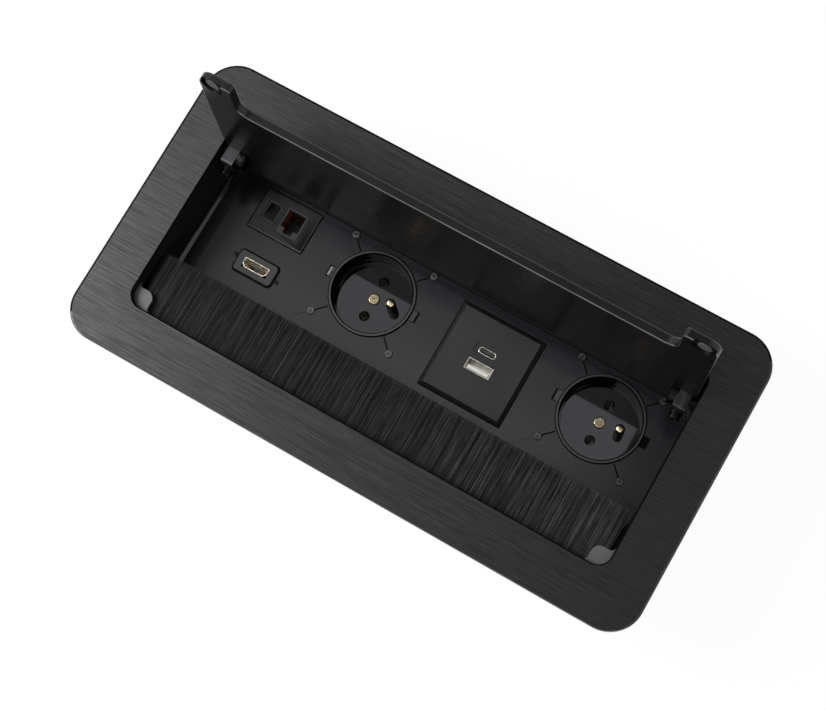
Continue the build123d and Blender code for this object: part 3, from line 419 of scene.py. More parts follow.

# %% [markdown]
# ## Black mouldings and the satin plate
#
# Black plastic has almost no colour, and differs by how sharp and how strong its mirror image is. The
# sockets are polished and show the lid's edge, with the faint waviness that every moulding has. The
# tub and the lid's lining are duller. The matt near-blacks for cuts and recesses are painted shade,
# and the rim's lighter grey is a painted highlight. The plate at the bottom is painted satin black
# with a fine grain, so its mirror image is soft. Each could have its own nodes, but with one function
# for all of them only a few numbers tell two plastics apart.

# %% Black plastics and satin paint
WAVE_CELLS = (35.0, 35.0, 35.0)
GRAIN_CELLS = (2500.0, 2500.0, 2500.0)
GRAIN_DETAIL = 1.0


def moulded(name, colour, rough_low, rough_high, wave=0.0, grain=0.0, tint_share=0.35, mirror=0.5,
            mirror_tint=(1.0, 1.0, 1.0)):
    """Moulded or painted black: a wandering roughness, with slow waves or a fine grain in its face.

    mirror is the shader's specular level: 0.5 for plain plastic, more for a stronger mirror image and
    less for a weaker one. mirror_tint colours what the surface mirrors when it is met face on."""
    tree, shader = finish(name, colour, rough_low)
    shader.inputs["Specular IOR Level"].default_value = mirror
    shader.inputs["Specular Tint"].default_value = (*mirror_tint, 1.0)
    slow = noise(tree, WAVE_CELLS)
    roughen(tree, shader, slow, rough_low, rough_high)
    darker = tuple(v * (1 - tint_share) for v in colour)
    lighter = tuple(v * (1 + tint_share) for v in colour)
    fine = noise(tree, GRAIN_CELLS, GRAIN_DETAIL)
    tint(tree, shader, spread(tree, fine, 0.0, 1.0), darker, lighter)
    if grain:
        bump(tree, shader, fine, grain)
    elif wave:
        bump(tree, shader, slow, wave)


moulded("tub_plastic", (0.0085, 0.0085, 0.0092), 0.46, 0.54, wave=0.00008, mirror=0.08)
moulded("lid_lining", (0.0036, 0.0036, 0.0039), 0.24, 0.30, wave=0.00008, mirror=0.10)
moulded("satin_plate", (0.0062, 0.0062, 0.0080), 0.19, 0.23, grain=0.000006, mirror=0.62)
moulded("socket_plastic", (0.0018, 0.0018, 0.0024), 0.020, 0.035, wave=0.000004, mirror=0.68,
        mirror_tint=(0.97, 0.94, 1.0))
# A lighter grey for the top of the sockets' rims: a painted highlight.
moulded("cup_rim", (0.0110, 0.0110, 0.0130), 0.22, 0.28, grain=0.000006, mirror=0.95)
moulded("cup_shade", (0.0016, 0.0016, 0.0022), 0.10, 0.16, wave=0.00002, mirror=0.16)
moulded("pad_grey", (0.050, 0.050, 0.050), 0.50, 0.60, grain=0.00001, mirror=0.3)
moulded("module_plastic", (0.0090, 0.0090, 0.0098), 0.36, 0.44, grain=0.00004, mirror=0.42, tint_share=0.6)
moulded("cover_plastic", (0.014, 0.014, 0.015), 0.42, 0.52, grain=0.00003)
moulded("tab_plastic", (0.059, 0.059, 0.057), 0.42, 0.55, grain=0.00001, tint_share=0.12)
moulded("tongue_pale", (0.55, 0.55, 0.52), 0.35, 0.45, grain=0.00001, tint_share=0.08)
moulded("tongue_dark", (0.012, 0.012, 0.012), 0.35, 0.45, grain=0.00001)
moulded("jack_plastic", (0.012, 0.011, 0.011), 0.30, 0.40, grain=0.00001, mirror=0.4)
moulded("jack_red", (0.110, 0.026, 0.016), 0.30, 0.40, grain=0.00001)
moulded("network_black", (0.0060, 0.0060, 0.0070), 0.30, 0.38, grain=0.00001, mirror=0.28)
# Painted shade: the bezel's cut where it looks away from the front and the right.
moulded("edge_dark", (0.0020, 0.0020, 0.0022), 0.50, 0.60, grain=0.00001, mirror=0.05)
# Painted shade: groove floors and the dark outlines round tabs and plates.
moulded("recess_black", (0.0015, 0.0015, 0.0016), 0.60, 0.70, grain=0.00001, mirror=0.05)
moulded("gland_rubber", (0.018, 0.018, 0.018), 0.65, 0.80, grain=0.00003)
moulded("board_green", (0.010, 0.060, 0.022), 0.30, 0.40, grain=0.00001)
print("plastics", [name for name in looks if "plastic" in name])

# %% [markdown]
# ## Small metal parts
#
# Screws, shells and contacts are too small for a pattern to show at a step's distance, but a flat
# grey would look like paint. Each gets turned or rolled marks: noise stretched along one axis.

# %% Small metals
SMOOTHEST_SHARE = 0.8
ROUGHEST_SHARE = 1.3
METALS = {
    "hinge_alloy": ((0.028, 0.028, 0.030), (0.050, 0.050, 0.053), 0.38, (300.0, 60.0, 300.0)),
    "screw_steel": ((0.006, 0.006, 0.006), (0.018, 0.018, 0.018), 0.32, (900.0, 900.0, 90.0)),
    "pad_steel": ((0.060, 0.060, 0.060), (0.140, 0.140, 0.140), 0.34, (700.0, 700.0, 70.0)),
    "clamp_steel": ((0.38, 0.39, 0.40), (0.56, 0.57, 0.58), 0.32, (120.0, 900.0, 900.0)),
    "small_screw": ((0.018, 0.018, 0.018), (0.050, 0.050, 0.050), 0.35, (900.0, 900.0, 90.0)),
    "contact_brass": ((0.10, 0.094, 0.085), (0.20, 0.19, 0.17), 0.24, (90.0, 900.0, 900.0)),
    "earth_brass": ((0.44, 0.37, 0.22), (0.74, 0.66, 0.47), 0.20, (900.0, 900.0, 90.0)),
    "screw_brass": ((0.28, 0.23, 0.13), (0.60, 0.52, 0.36), 0.24, (900.0, 900.0, 90.0)),
    "pin_shade": ((0.004, 0.003, 0.0025), (0.014, 0.011, 0.008), 0.32, (900.0, 900.0, 90.0)),
    # Painted shade round the edge of the brass centre screws.
    "screw_amber": ((0.16, 0.075, 0.020), (0.30, 0.15, 0.045), 0.28, (900.0, 900.0, 90.0)),
    "screw_glint": ((0.14, 0.14, 0.14), (0.30, 0.30, 0.30), 0.30, (900.0, 900.0, 90.0)),
    "contact_gold": ((0.62, 0.40, 0.10), (0.84, 0.60, 0.22), 0.22, (900.0, 90.0, 900.0)),
    "port_cream": ((0.68, 0.60, 0.45), (0.94, 0.88, 0.74), 0.24, (600.0, 600.0, 60.0)),
    "port_steel": ((0.60, 0.58, 0.53), (0.90, 0.88, 0.82), 0.22, (600.0, 600.0, 60.0)),
}
for name, (dark, light, roughness, cells) in METALS.items():
    tree, shader = finish(name, light, roughness, 1.0)
    marks = noise(tree, cells)
    tint(tree, shader, spread(tree, marks, 0.0, 1.0), dark, light)
    roughen(tree, shader, marks, roughness * SMOOTHEST_SHARE, roughness * ROUGHEST_SHARE)
print("metals", sorted(METALS))

# %% [markdown]
# ## Dressing the solids
#
# The solids arrive as loose flat triangles, which is right for a box but shows facets on a round rim.
# Where a piece has curves, a copy is merged, shaded smooth up to a sharp angle, and stands for its
# solid, with the same shape to a few micrometres. Plain flat pieces stay as they are and only get
# their finish. A thin bevel gives an edge the bright line that a perfect corner never has.

# %% Plain finishes for every node
for name, node in nodes.items():
    node.data.materials.clear()
    # The bristles' own finish comes later, with the hairs that replace their solid.
    node.data.materials.append(looks.get(slot_of[name], looks["cover_plastic"]))
print("solids with a finish", len(nodes))

# %% A clean and smooth copy
MERGE = 1e-6
SLIVER = 4e-6
FLAT_WITHIN = math.radians(0.2)
SMOOTH_BELOW = math.radians(32.0)


def clean_shell(name):
    """A node's solid as an editable mesh: merged, without slivers, and with whole flat faces.

    A sliver has no sure direction, so shading would leak over it from a wall to a floor."""
    shell = bmesh.new()
    shell.from_mesh(nodes[name].data)
    bmesh.ops.remove_doubles(shell, verts=shell.verts, dist=MERGE)
    bmesh.ops.dissolve_degenerate(shell, dist=SLIVER, edges=shell.edges)
    bmesh.ops.dissolve_limit(shell, angle_limit=FLAT_WITHIN, verts=shell.verts, edges=shell.edges)
    return shell


def shaded_mesh(shell, name):
    """The shell as a mesh, smooth except at edges that turn by more than SMOOTH_BELOW."""
    shell.normal_update()
    for face in shell.faces:
        face.smooth = True
    for edge in shell.edges:
        edge.smooth = len(edge.link_faces) == 2 and edge.calc_face_angle(0.0) < SMOOTH_BELOW
    mesh = bpy.data.meshes.new(name)
    shell.to_mesh(mesh)
    shell.free()
    return mesh


print("faces are smooth below", round(math.degrees(SMOOTH_BELOW)), "degrees")

# %% Dressed copies
BEVEL_ABOVE = math.radians(50.0)
BEVEL_STEPS = 2


def dressed(name, bevel=0.0, extra=(), choose=None, cut=None):
    """A smooth copy of a node, with an optional bevel in mm and finishes chosen by face.

    choose gets the faces' normals and centres as arrays and gives each face the number of its finish,
    0 for the node's own and then those of extra in turn. cut changes the shell before that, and the
    faces to which it gives a finish of their own keep it."""
    shell = clean_shell(name)
    if cut is not None:
        cut(shell)
    mesh = shaded_mesh(shell, name + "_dressed")
    own = slot_of[name]
    for look in (own, *extra):
        mesh.materials.append(looks[look])
    if choose is not None:
        count = len(mesh.polygons)
        normals = np.empty(3 * count)
        centres = np.empty(3 * count)
        marked = np.empty(count, dtype=np.int32)
        mesh.polygons.foreach_get("normal", normals)
        mesh.polygons.foreach_get("center", centres)
        mesh.polygons.foreach_get("material_index", marked)
        chosen = choose(normals.reshape(-1, 3), centres.reshape(-1, 3) / MM)
        chosen = np.where(marked > 0, marked, chosen).astype(np.int32)
        mesh.polygons.foreach_set("material_index", chosen)
    piece = new_object(name + "_dressed", mesh)
    if bevel:
        edges = piece.modifiers.new("edge", "BEVEL")
        edges.width = bevel * MM
        edges.segments = BEVEL_STEPS
        edges.limit_method = "ANGLE"
        edges.angle_limit = BEVEL_ABOVE
        edges.harden_normals = True
    else:
        weigh = piece.modifiers.new("flat_faces", "WEIGHTED_NORMAL")
        weigh.keep_sharp = True
    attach(piece, body_of[name])
    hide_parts(name)
    return piece


print("ready to dress")

# %% [markdown]
# ## Bezel, tub and plate
#
# The bezel's top is brushed and its cuts are not. Each face picks its finish by where it looks: up is
# brushed, and the outer cut gets painted light, a painted highlight along the front, a softer painted
# light on the right and painted shade elsewhere. The cut's upper corner is broken by a second, flatter
# cut in the copy. A sharp corner between brushed and painted shade would be a line without width, and
# this narrow band is what draws the plate's outline.

# %% Bezel and tub
BEZEL_BAND = 0.5
ON_TOP = 0.01
OUTER_ZONE = 4.0
CORNER_ZONE = 16.0
SQUARE_ON = 0.99
STRAIGHT_UP = 0.97
BAND_UP = 0.85
TO_THE_FRONT = 0.6
TO_THE_RIGHT = 0.8
NOT_ZERO = 1e-9
bezel_high = box_mm("bezel_frame")[1]


def near_outline(x, y):
    """True within OUTER_ZONE of the bezel's outer sides, or in the CORNER_ZONE of its outer corners."""
    reach_x = bezel_high[0] - np.abs(x)
    reach_y = bezel_high[1] - np.abs(y)
    return (np.minimum(reach_x, reach_y) < OUTER_ZONE) | (reach_x + reach_y < CORNER_ZONE)


def break_corner(shell):
    """Cuts the corner between the bezel's brushed face and its outer cut."""
    top = {face for face in shell.faces if face.normal.z > SQUARE_ON}
    rim = []
    for edge in shell.edges:
        middle = (edge.verts[0].co + edge.verts[1].co) / (2 * MM)
        at_rim = abs(middle.z - bezel_high[2]) < ON_TOP and near_outline(middle.x, middle.y)
        if at_rim and len(top.intersection(edge.link_faces)) == 1:
            rim.append(edge)
    bmesh.ops.bevel(shell, geom=rim, offset=BEZEL_BAND * MM, offset_type="OFFSET", segments=1, profile=0.5,
                    affect="EDGES", clamp_overlap=True, material=-1)


def bezel_faces(normals, centres):
    """Brushed where a face looks up; on the outer cut, painted light or shade by the side it faces."""
    flat = np.hypot(normals[:, 0], normals[:, 1]) + NOT_ZERO
    outer = near_outline(centres[:, 0], centres[:, 1])
    front = outer & (normals[:, 1] / flat < -TO_THE_FRONT)
    up = (normals[:, 2] > STRAIGHT_UP) | (front & (normals[:, 2] > BAND_UP))
    right = outer & (normals[:, 0] / flat > TO_THE_RIGHT)
    return np.where(up, 0, np.where(front, 2, np.where(right, 3, 1)))


dressed("bezel_frame", extra=("edge_dark", "edge_pale", "edge_soft"), choose=bezel_faces, cut=break_corner)
dressed("housing")
print("bezel and tub dressed, band", BEZEL_BAND, "mm")

# %% Faceplate and covers
plate_low, plate_high = box_mm("faceplate")
PLATE_TOP = plate_high[2]
GROOVE_SHADE = 0.2
GROOVE_REACH = 30.0
MOSTLY = 0.9


def plate_faces(normals, centres):
    """Satin all over, and painted shade in black on the floors of the grooves between a socket and its
    small screws.
    """
    black = (normals[:, 2] > MOSTLY) & (centres[:, 2] < PLATE_TOP - GROOVE_SHADE)
    beside = np.zeros(len(black), dtype=bool)
    for number in (1, 2):
        middle = sum(box_mm(f"socket_{number}_cup")) / 2
        beside |= np.hypot(centres[:, 0] - middle[0], centres[:, 1] - middle[1]) < GROOVE_REACH
    return np.where(black & beside, 1, 0)


dressed("faceplate", extra=("recess_black",), choose=plate_faces)
for name in ("base_cover", "brush_carrier", "cable_gland"):
    dressed(name)
print("plate and covers dressed, plate's top at", round(PLATE_TOP, 2), "mm")

# %% [markdown]
# ## The lid
#
# Outside it is brushed like the bezel, inside it is lined with black, a little glossier than the tub,
# and the thick edge that faces up when it stands open is a plain dark band. A narrow cut along the
# lining's outline shines as a thin line: it is bevelled into the copy, because a painted line would
# not catch the light when the lid turns.

# %% Lid
lid_joint = next(joint for joint in record["behaviour"]["joints"] if joint["name"] == "lid_hinge")
LID_SWING = math.radians(lid_joint["range_deg"][1])
LINING_CUT = 0.4
LINING_STEP = 0.1
POCKET_REACH = 5.4
CUT_FINISH = 3
# The outside looks straight up when the lid is closed, and is turned back by the whole swing at rest.
outside = np.array([0.0, math.sin(LID_SWING), math.cos(LID_SWING)])


def in_pocket(edge):
    """True for an edge of the pockets round the two pads, which were milled and not cut."""
    middle = (edge.verts[0].co + edge.verts[1].co) / (2 * MM)
    for side in ("right", "left"):
        pad = sum(box_mm("lid_pad_" + side)) / 2
        if abs(middle.x - pad[0]) < POCKET_REACH and middle.z > pad[2] - POCKET_REACH:
            return True
    return False


def cut_lining(shell):
    """Cuts a narrow bright bevel along the outline of the lid's lining."""
    facing = Vector(-outside)
    lining = [face for face in shell.faces if face.normal.dot(facing) > SQUARE_ON]
    deepest = max(face.calc_center_median().dot(facing) for face in lining) - LINING_STEP * MM
    skin = {face for face in lining if face.calc_center_median().dot(facing) > deepest}
    outline = [edge for edge in shell.edges if len(edge.link_faces) == 2
               and len(skin.intersection(edge.link_faces)) == 1 and not in_pocket(edge)]
    bmesh.ops.bevel(shell, geom=outline, offset=LINING_CUT * MM, offset_type="OFFSET", segments=1,
                    profile=0.5, affect="EDGES", clamp_overlap=True, material=CUT_FINISH)


def lid_faces(normals, centres):
    """Brushed outside, lined inside, and a plain band on the thick edges between them."""
    turned = normals @ outside
    return np.where(turned > MOSTLY, 0, np.where(turned < -MOSTLY, 1, 2))


lid = dressed("lid", extra=("lid_lining", "lid_band", "edge_line"), choose=lid_faces, cut=cut_lining)
in_cut = sum(face.material_index == CUT_FINISH for face in lid.data.polygons)
print("lid faces", len(lid.data.polygons), "of them in the bright cut", in_cut)

# %% [markdown]
# ## The hinge, the pads and the tabs
#
# These are machined blocks, turned pins and screws, and moulded tabs, and none of them has a corner
# that is quite sharp. The solids could carry these tiny cuts, but they would add faces that only the
# eye needs, so a bevel modifier makes them here, a tenth to a third of a millimetre wide.

# %% Hinge, pads and tabs
for side in ("right", "left"):
    dressed("hinge_block_" + side, bevel=0.3)
    dressed("hinge_screw_" + side, bevel=0.1)
    dressed("hinge_washer_" + side, bevel=0.12)
    dressed("hinge_pin_" + side, bevel=0.15)
    dressed("lid_pad_" + side, bevel=0.1).material_slots[0].material = looks["pad_grey"]
    dressed("corner_tab_" + side, bevel=0.35)
    dressed("clamp_" + side, bevel=0.2)
    dressed("clamp_screw_" + side, bevel=0.15)
print("hinge, pads, tabs and clamps dressed")

# %% [markdown]
# ## Sockets and ports
#
# Round cups, pins and screws are smoothed. The thin metal shells of the ports get a hair of bevel,
# which draws the fine light outline that tells a metal rim from a painted one. Where one solid has
# two finishes, such as a cup with a painted highlight on its rim, a rule on where a face looks and lies
# picks between them; several of these second finishes are painted light or painted shade. Faces could
# be picked by their numbers instead, but those change whenever the solid does.

# %% Which face gets which finish
FACING_UP = 0.93
TIP_UP = 0.35
HEAD_DEPTH = 0.05
CUP_LIP = 0.2
INWARDS = 0.1
UPRIGHT = 0.5


def tip_faces(normals, centres):
    """The node's own finish where a face looks well up, and the second one down its sides."""
    return np.where(normals[:, 2] > TIP_UP, 0, 1)


def disc_faces(normals, centres):
    """The node's own finish on the flat of the head, and the second one round its edge. The second is
    painted light: painted shade round the brass centre screws, a painted glint round the video screws.
    """
    return np.where(normals[:, 2] > FACING_UP, 0, 1)


def head_faces(normals, centres):
    """The second finish, a lighter painted highlight, on the top ring of each head, and the node's own in
    its recess.
    """
    return np.where(centres[:, 2] > centres[:, 2].max() - HEAD_DEPTH, 1, 0)


def cup_faces(normals, centres):
    """The second finish on the cup's inner wall, which looks to its middle and mirrors only itself, and
    the third, a lighter grey that is a painted highlight, on the top of its rim."""
    middle = (centres.min(axis=0) + centres.max(axis=0)) / 2
    inwards = middle[:2] - centres[:, :2]
    towards = (normals[:, :2] * inwards).sum(axis=1) > INWARDS
    wall = (np.abs(normals[:, 2]) < UPRIGHT) & (centres[:, 2] < PLATE_TOP + CUP_LIP)
    rim = (normals[:, 2] > MOSTLY) & (centres[:, 2] > PLATE_TOP + CUP_LIP)
    return np.where(wall & towards, 1, np.where(rim, 2, 0))


print("finishes are chosen by where a face looks")

# %% Sockets
for number in (1, 2):
    socket = f"socket_{number}_"
    dressed(socket + "cup", extra=("cup_shade", "cup_rim"), choose=cup_faces)
    dressed(socket + "earth_pin", extra=("pin_shade",), choose=tip_faces)
    # The edge of the brass head is a darker brass: painted shade.
    middle_screw = dressed(socket + "centre_screw", extra=("screw_amber",), choose=disc_faces)
    middle_screw.material_slots[0].material = looks["screw_brass"]
    # The heads' top rings get a paler steel: a painted highlight.
    dressed(socket + "screws", extra=("pad_steel",), choose=head_faces)
    for name in ("carrier", "live_sleeve", "neutral_sleeve"):
        dressed(socket + name)
print("two sockets dressed")

# %% Ports
PAST_MIDDLE = 0.5
SLANTED = 0.3
jack_middle = sum(box_mm("network_jack")) / 2


def jack_faces(normals, centres):
    """Red on the inner wall that looks to the right, where the wires' block shows."""
    return np.where((normals[:, 0] > MOSTLY) & (centres[:, 0] < jack_middle[0] - PAST_MIDDLE), 1, 0)


def cut_faces(normals, centres):
    """The second, paler finish on the cuts that look to the right or the front: a painted highlight."""
    slanted = (normals[:, 2] > SLANTED) & (normals[:, 2] < FACING_UP)
    return np.where(slanted & ((normals[:, 0] > SLANTED) | (normals[:, 1] < -SLANTED)), 1, 0)


dressed("charger_face")
dressed("network_jack", bevel=0.08, extra=("jack_red",), choose=jack_faces)
# The plate's right and front cuts are painted paler: a painted highlight.
network = dressed("network_plate", bevel=0.1, extra=("tab_plastic",), choose=cut_faces)
network.material_slots[0].material = looks["network_black"]
dressed("video_block", bevel=0.3)
dressed("video_screws", extra=("screw_glint",), choose=disc_faces)
dressed("video_shell", bevel=0.06).material_slots[0].material = looks["port_cream"]
BEVELS = {
    "type_a_shell": 0.08, "type_a_tongue": 0.08, "type_c_shell": 0.06, "type_c_tongue": 0.05,
    "blank_insert": 0.1, "video_tongue": 0.05, "terminal_block": 0.3, "charger_body": 0.2,
    "cover_screws": 0.1, "faceplate_screws": 0.1, "bezel_screws": 0.1,
}
for name, bevel in BEVELS.items():
    dressed(name, bevel=bevel)
print("ports and screws dressed")

# %% [markdown]
# ## The brush
#
# The real brush is a strip of some thousands of nylon hairs. Particle hair would look right here but
# is lost in the exported mesh, so each hair is a thin four-sided tube: a centre line that leaves the
# carrier straight and leans sideways towards its tip, and a radius that thins to the tip. All hairs
# are worked out as one array. Neighbours lean the same way in clumps, as in a used brush. Among them
# lies a thin core sheet, so that no light comes through the strip.

# %% Where each hair stands
HAIR_COUNT = 5000
HAIR_RADIUS = 0.14
HAIR_SEED = 7
PLACE_JITTER = 0.05
WIDE_CLUMPS = {"height": 0.35, "per_mm": 0.9, "start": 0.0}
SMALL_CLUMPS = {"height": 0.25, "per_mm": 2.3, "start": 1.0}
TIP_BACK = 0.25
TIP_SPREAD = 0.55
TIP_EVEN = 0.6
SIDE_LEAN = 0.6
CLUMP_LEAN = 0.5
TONE_BELL = (3.4, 9.2)
TONE_MIDDLE = 1.06
PAINTED_LIGHT_RISE = 0.48
PAINTED_LIGHT_CURVE = 0.33


def clump_wave(x, height, per_mm, start):
    """A sine wave along X. Formula: height times the sine of x times per_mm plus start."""
    return height * np.sin(x * per_mm + start)


brush_low, brush_high = box_mm("bristles")
rng = np.random.default_rng(HAIR_SEED)
across = np.linspace(brush_low[0] + HAIR_RADIUS, brush_high[0] - HAIR_RADIUS, HAIR_COUNT)
across = across + rng.normal(0.0, PLACE_JITTER, HAIR_COUNT)
level = rng.uniform(brush_low[2] + HAIR_RADIUS, brush_high[2] - HAIR_RADIUS, HAIR_COUNT)
clump = clump_wave(across, **WIDE_CLUMPS) + clump_wave(across, **SMALL_CLUMPS)
short = np.abs(rng.normal(0.0, TIP_SPREAD, HAIR_COUNT)) * (TIP_EVEN + clump ** 2)
tip_y = brush_high[1] - TIP_BACK - short
lean = rng.normal(0.0, SIDE_LEAN, HAIR_COUNT) + CLUMP_LEAN * clump
# A hair's random tone grows towards the strip's right end; that rise is painted light.
along = across / brush_high[0]
tone_and_light = rng.beta(*TONE_BELL, HAIR_COUNT) * (TONE_MIDDLE + PAINTED_LIGHT_RISE * along + PAINTED_LIGHT_CURVE * along ** 2)
print("hairs", HAIR_COUNT, "mean tone", round(float(tone_and_light.mean()), 3))

# %% Brush hairs
HAIR_STEPS = 4


def hair_tubes(x, z, y_end, lean_x, radius):
    """Four-sided tubes from the root to the tip. Formula: with t from 0 to 1 the centre runs evenly along
    Y, X is its own x plus the lean times t squared, Z stays, and the radius is 1 minus a third of t
    squared, so it thins to two thirds at the tip."""
    t = np.linspace(0.0, 1.0, HAIR_STEPS + 1)
    turn = np.pi / 4 + np.arange(4) * np.pi / 2
    root = brush_low[1]
    centre_x = x[:, None] + lean_x[:, None] * t ** 2
    centre_y = root + (y_end[:, None] - root) * t
    centre_z = np.repeat(z[:, None], t.size, axis=1)
    thin = radius * (1.0 - t ** 2 / 3)
    ring_x = centre_x[:, :, None] + thin[None, :, None] * np.cos(turn)
    ring_y = np.repeat(centre_y[:, :, None], 4, axis=2)
    ring_z = centre_z[:, :, None] + thin[None, :, None] * np.sin(turn)
    return np.stack([ring_x, ring_y, ring_z], axis=-1).reshape(-1, 3)


def tube_faces(count, steps):
    """The faces of such tubes. Formula: point k of a ring, its neighbour and the same two of the next
    ring make a side, four a step, with a cap at each end, all looking outwards."""
    corner = np.arange(4)
    following = (corner + 1) % 4
    step = np.arange(steps)[:, None] * 4
    one = np.stack([step + corner, step + 4 + corner, step + 4 + following, step + following], axis=-1)
    one = one.reshape(-1, 4)
    caps = np.array([[0, 1, 2, 3], [4 * steps + 3, 4 * steps + 2, 4 * steps + 1, 4 * steps]])
    one = np.vstack([one, caps])
    shift = np.arange(count)[:, None, None] * 4 * (steps + 1)
    return (one[None] + shift).reshape(-1, 4)


hair_points = hair_tubes(across, level, tip_y, lean, HAIR_RADIUS)
hair_faces = tube_faces(HAIR_COUNT, HAIR_STEPS)
hair_tone = np.repeat(tone_and_light, 4 * (HAIR_STEPS + 1))
print("hair points", len(hair_points))

# %% The core among the hairs
CORE_SHORT = 2.2
CORE_HALF = 0.45
CORE_INSET = 0.3
core_mid = (brush_low[2] + brush_high[2]) / 2
core_x = np.array([brush_low[0] + CORE_INSET, brush_high[0] - CORE_INSET])
core_y = np.array([brush_low[1], brush_high[1] - CORE_SHORT])
core_z = np.array([core_mid - CORE_HALF, core_mid + CORE_HALF])
grid_z, grid_y, grid_x = np.meshgrid(core_z, core_y, core_x, indexing="ij")
core_points = np.column_stack([grid_x.ravel(), grid_y.ravel(), grid_z.ravel()])
core_faces = np.array([[0, 2, 3, 1], [4, 5, 7, 6], [0, 1, 5, 4], [2, 6, 7, 3], [0, 4, 6, 2], [1, 3, 7, 5]])
brush_points = np.vstack([hair_points, core_points])
brush_faces = np.vstack([hair_faces, core_faces + len(hair_points)])
brush_tone_and_light = np.concatenate([hair_tone, np.zeros(len(core_points))])

brush_mesh = bpy.data.meshes.new("brush_hairs")
brush_mesh.from_pydata((brush_points * MM).tolist(), [], brush_faces.tolist())
shade = brush_mesh.attributes.new("hair_tone", "FLOAT", "POINT")
shade.data.foreach_set("value", brush_tone_and_light.astype(np.float32))
print("brush triangles", 2 * len(brush_faces))

# %% The hairs' finish
HAIR_PATCHES = (700.0, 110.0, 500.0)
PATCH_DARK = 0.7
PATCH_LIGHT = 1.35
HAIR_BLACK = (0.003, 0.003, 0.003)
HAIR_PALE = (0.070, 0.070, 0.068)
HAIR_COLOUR = (0.012, 0.012, 0.012)
HAIR_ROUGHNESS = 0.42
HAIR_MIRROR = 0.06

tree, shader = finish("bristle", HAIR_COLOUR, HAIR_ROUGHNESS)
reader = tree.nodes.new("ShaderNodeAttribute")
reader.attribute_name = "hair_tone"
patches = spread(tree, noise(tree, HAIR_PATCHES), PATCH_DARK, PATCH_LIGHT)
tint(tree, shader, combine(tree, "MULTIPLY", reader.outputs["Fac"], patches), HAIR_BLACK, HAIR_PALE)
shader.inputs["Specular IOR Level"].default_value = HAIR_MIRROR
brush_mesh.materials.append(looks["bristle"])
brush = new_object("brush_hairs", brush_mesh)
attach(brush, body_of["bristles"])
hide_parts("bristles")
print("brush in place of the bristles")

# %% [markdown]
# ## Thin trim in the well
#
# Some small things are too fine for the solids and still seen from above: the dark outline of the
# snap tabs, the network plate and the video block, the sloping face that shines on one tab, and the
# narrow cove in which the plate's left end turns up into the wall. They could be painted on, but
# only a real slope or cove keeps its shine when the light moves, so each is a thin shape of its own.
# The dark outlines are black bars of painted shade, and the slope's pale metal is a painted highlight.

# %% Trim helpers
TRIM_LIFT = 0.06
TRIM_ROOT = 0.1
trim_low, trim_high = PLATE_TOP - TRIM_ROOT, PLATE_TOP + TRIM_LIFT


def prism(outline, start, end, axis):
    """A closed bar. Formula: the outline's points, once at start and once at end along the axis, with a
    face between each pair of neighbours and a cap on both ends.

    The outline is an array of pairs in the plane across the axis, in order of the other two axes."""
    count = len(outline)
    points = np.vstack([np.insert(outline, axis, place, axis=1) for place in (float(start), float(end))])
    near = np.arange(count)
    after = (near + 1) % count
    sides = np.stack([near, after, after + count, near + count], axis=1)
    return points, sides.tolist() + [near[::-1].tolist(), (near + count).tolist()]


def trim_piece(name, bars, look, body):
    """One mesh from several bars, turned outwards, with its finish and body."""
    faces = []
    used = 0
    for bar_points, bar_faces in bars:
        faces += [[corner + used for corner in face] for face in bar_faces]
        used += len(bar_points)
    draft = bpy.data.meshes.new(name + "_draft")
    draft.from_pydata((np.vstack([bar_points for bar_points, _ in bars]) * MM).tolist(), [], faces)
    shell = bmesh.new()
    shell.from_mesh(draft)
    bpy.data.meshes.remove(draft)
    bmesh.ops.recalc_face_normals(shell, faces=shell.faces)
    mesh = shaded_mesh(shell, name)
    mesh.materials.append(looks[look])
    piece = new_object(name, mesh)
    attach(piece, body)


def flat_bar(x0, x1, y0, y1):
    """A plain bar between two corners, as low and as high as all the trim."""
    outline = np.array([(x0, trim_low), (x1, trim_low), (x1, trim_high), (x0, trim_high)])
    return prism(outline, y0, y1, 1)


print("trim from", round(trim_low, 2), "to", round(trim_high, 2), "mm")

# %% Snap tabs
CUP_FLANGE = 2.0
TAB_GAP = 0.4
TAB_LENGTH = 5.9
TAB_REACH = 3.0
TAB_LINE = 0.35
RAMP_GAP = 0.3
RAMP_WIDTH = 1.3
RAMP_LENGTH = 4.4
RAMP_RISE = 0.5

for number in (1, 2):
    low, high = box_mm(f"socket_{number}_cup")
    middle_x, middle_y = (low[0] + high[0]) / 2, (low[1] + high[1]) / 2
    rim = (high[0] - low[0]) / 2 - CUP_FLANGE
    front, back = middle_y - TAB_LENGTH / 2, middle_y + TAB_LENGTH / 2
    lines = []
    for side in (-1, 1):
        x0, x1 = sorted((middle_x + side * (rim + TAB_GAP), middle_x + side * (rim + TAB_REACH)))
        far_x = x0 if side < 0 else x1 - TAB_LINE
        lines.append(flat_bar(x0, x1, front, front + TAB_LINE))
        lines.append(flat_bar(x0, x1, back - TAB_LINE, back))
        lines.append(flat_bar(far_x, far_x + TAB_LINE, front, back))
    # Black bars round each tab: painted shade in its gaps.
    trim_piece(f"tab_lines_{number}", lines, "recess_black", "base")
    if number == 1:
        foot = middle_x - rim - TAB_REACH + TAB_LINE + RAMP_GAP
        head = foot + RAMP_WIDTH
        slope = np.array([(foot, trim_low), (head, trim_low), (head, PLATE_TOP + RAMP_RISE)])
        ramp = prism(slope, middle_y - RAMP_LENGTH / 2, middle_y + RAMP_LENGTH / 2, 1)
        # Its pale metal is a painted highlight on the slope.
        trim_piece("tab_ramp", [ramp], "screw_glint", "base")
print("snap tabs drawn, lines", TAB_LINE, "mm wide")

# %% Cove at the plate's left end
COVE_RADIUS = 2.1
COVE_START = -22.0
COVE_SHORT = 2.0
COVE_STEPS = 8

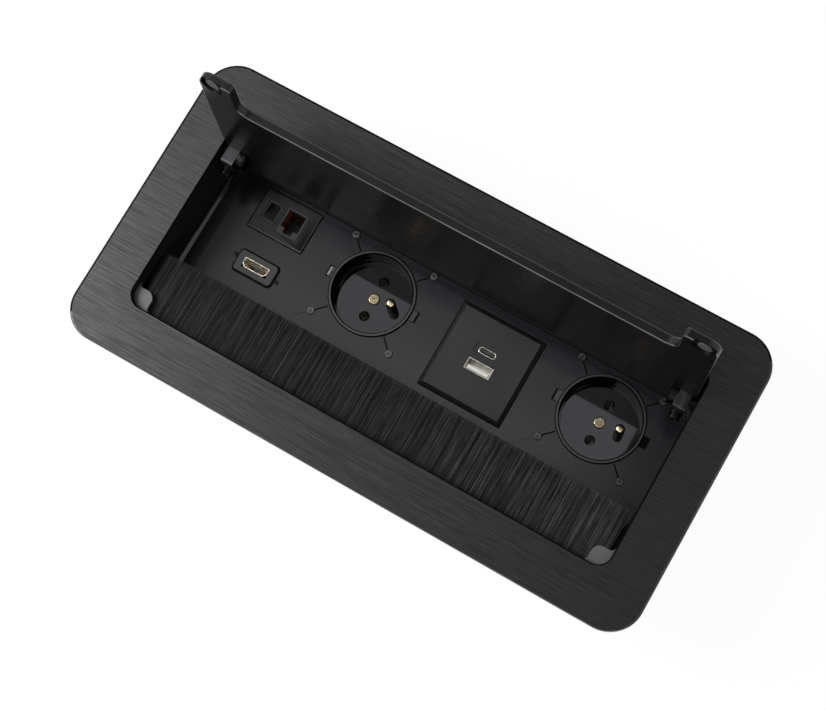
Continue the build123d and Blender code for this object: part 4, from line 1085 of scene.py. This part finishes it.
# Formula: a quarter circle from the plate up to the wall, closed by the corner that it rounds off.
turn = np.linspace(0.0, np.pi / 2, COVE_STEPS + 1)
cove_x = np.append(0.0, COVE_RADIUS * (1 - np.sin(turn)))
cove_z = np.append(0.0, COVE_RADIUS * (1 - np.cos(turn)))
outline = np.column_stack([plate_low[0] + cove_x, PLATE_TOP + cove_z])
cove_bar = prism(outline, COVE_START, plate_high[1] - COVE_SHORT, 1)
trim_piece("end_cove", [cove_bar], "socket_plastic", "base")
print("cove of", COVE_RADIUS, "mm")

# %% Painted shade round the network plate and the video block
SHADE_RING_WIDTH = 0.6
SHADE_RING_CORNERS = {"network_plate": 0.4, "video_block": 2.0}
CORNER_STEPS = 6


def rounded(low, high, radius):
    """A rectangle with rounded corners, anticlockwise from the right front corner. Formula: a quarter
    circle of the radius at each corner, about a centre that lies one radius inside both sides."""
    side_x = np.array([1, 1, -1, -1])
    side_y = np.array([-1, 1, 1, -1])
    centre_x = np.where(side_x > 0, high[0], low[0]) - side_x * radius
    centre_y = np.where(side_y > 0, high[1], low[1]) - side_y * radius
    quarter = np.arange(4)[:, None] - 1
    turn = np.pi / 2 * (quarter + np.arange(CORNER_STEPS + 1) / CORNER_STEPS)
    x = centre_x[:, None] + radius * np.cos(turn)
    y = centre_y[:, None] + radius * np.sin(turn)
    return np.column_stack([x.ravel(), y.ravel()])


def flat_ring(low, high, radius, width):
    """A thin flat ring round such a rectangle. Formula: its outline and the same one grown by the width,
    each at the trim's low and high level, with a band of faces between neighbouring loops."""
    loops = [np.insert(rounded(low - grow, high + grow, radius + grow), 2, loop_z, axis=1)
             for loop_z in (trim_low, trim_high) for grow in (0.0, width)]
    count = len(loops[0])
    near = np.arange(count)
    after = (near + 1) % count
    bands = [np.stack([one * count + near, one * count + after, other * count + after,
                       other * count + near], axis=1) for one, other in ((0, 1), (1, 3), (3, 2), (2, 0))]
    return np.vstack(loops), np.vstack(bands).tolist()


# A black ring just outside each, painted shade for the gap round its edge.
for node, radius in SHADE_RING_CORNERS.items():
    low, high = (corner[:2] for corner in box_mm(node))
    ring = flat_ring(low, high, radius, SHADE_RING_WIDTH)
    trim_piece(node.split("_")[0] + "_outline", [ring], "recess_black", "base")
print("outlined", list(SHADE_RING_CORNERS))
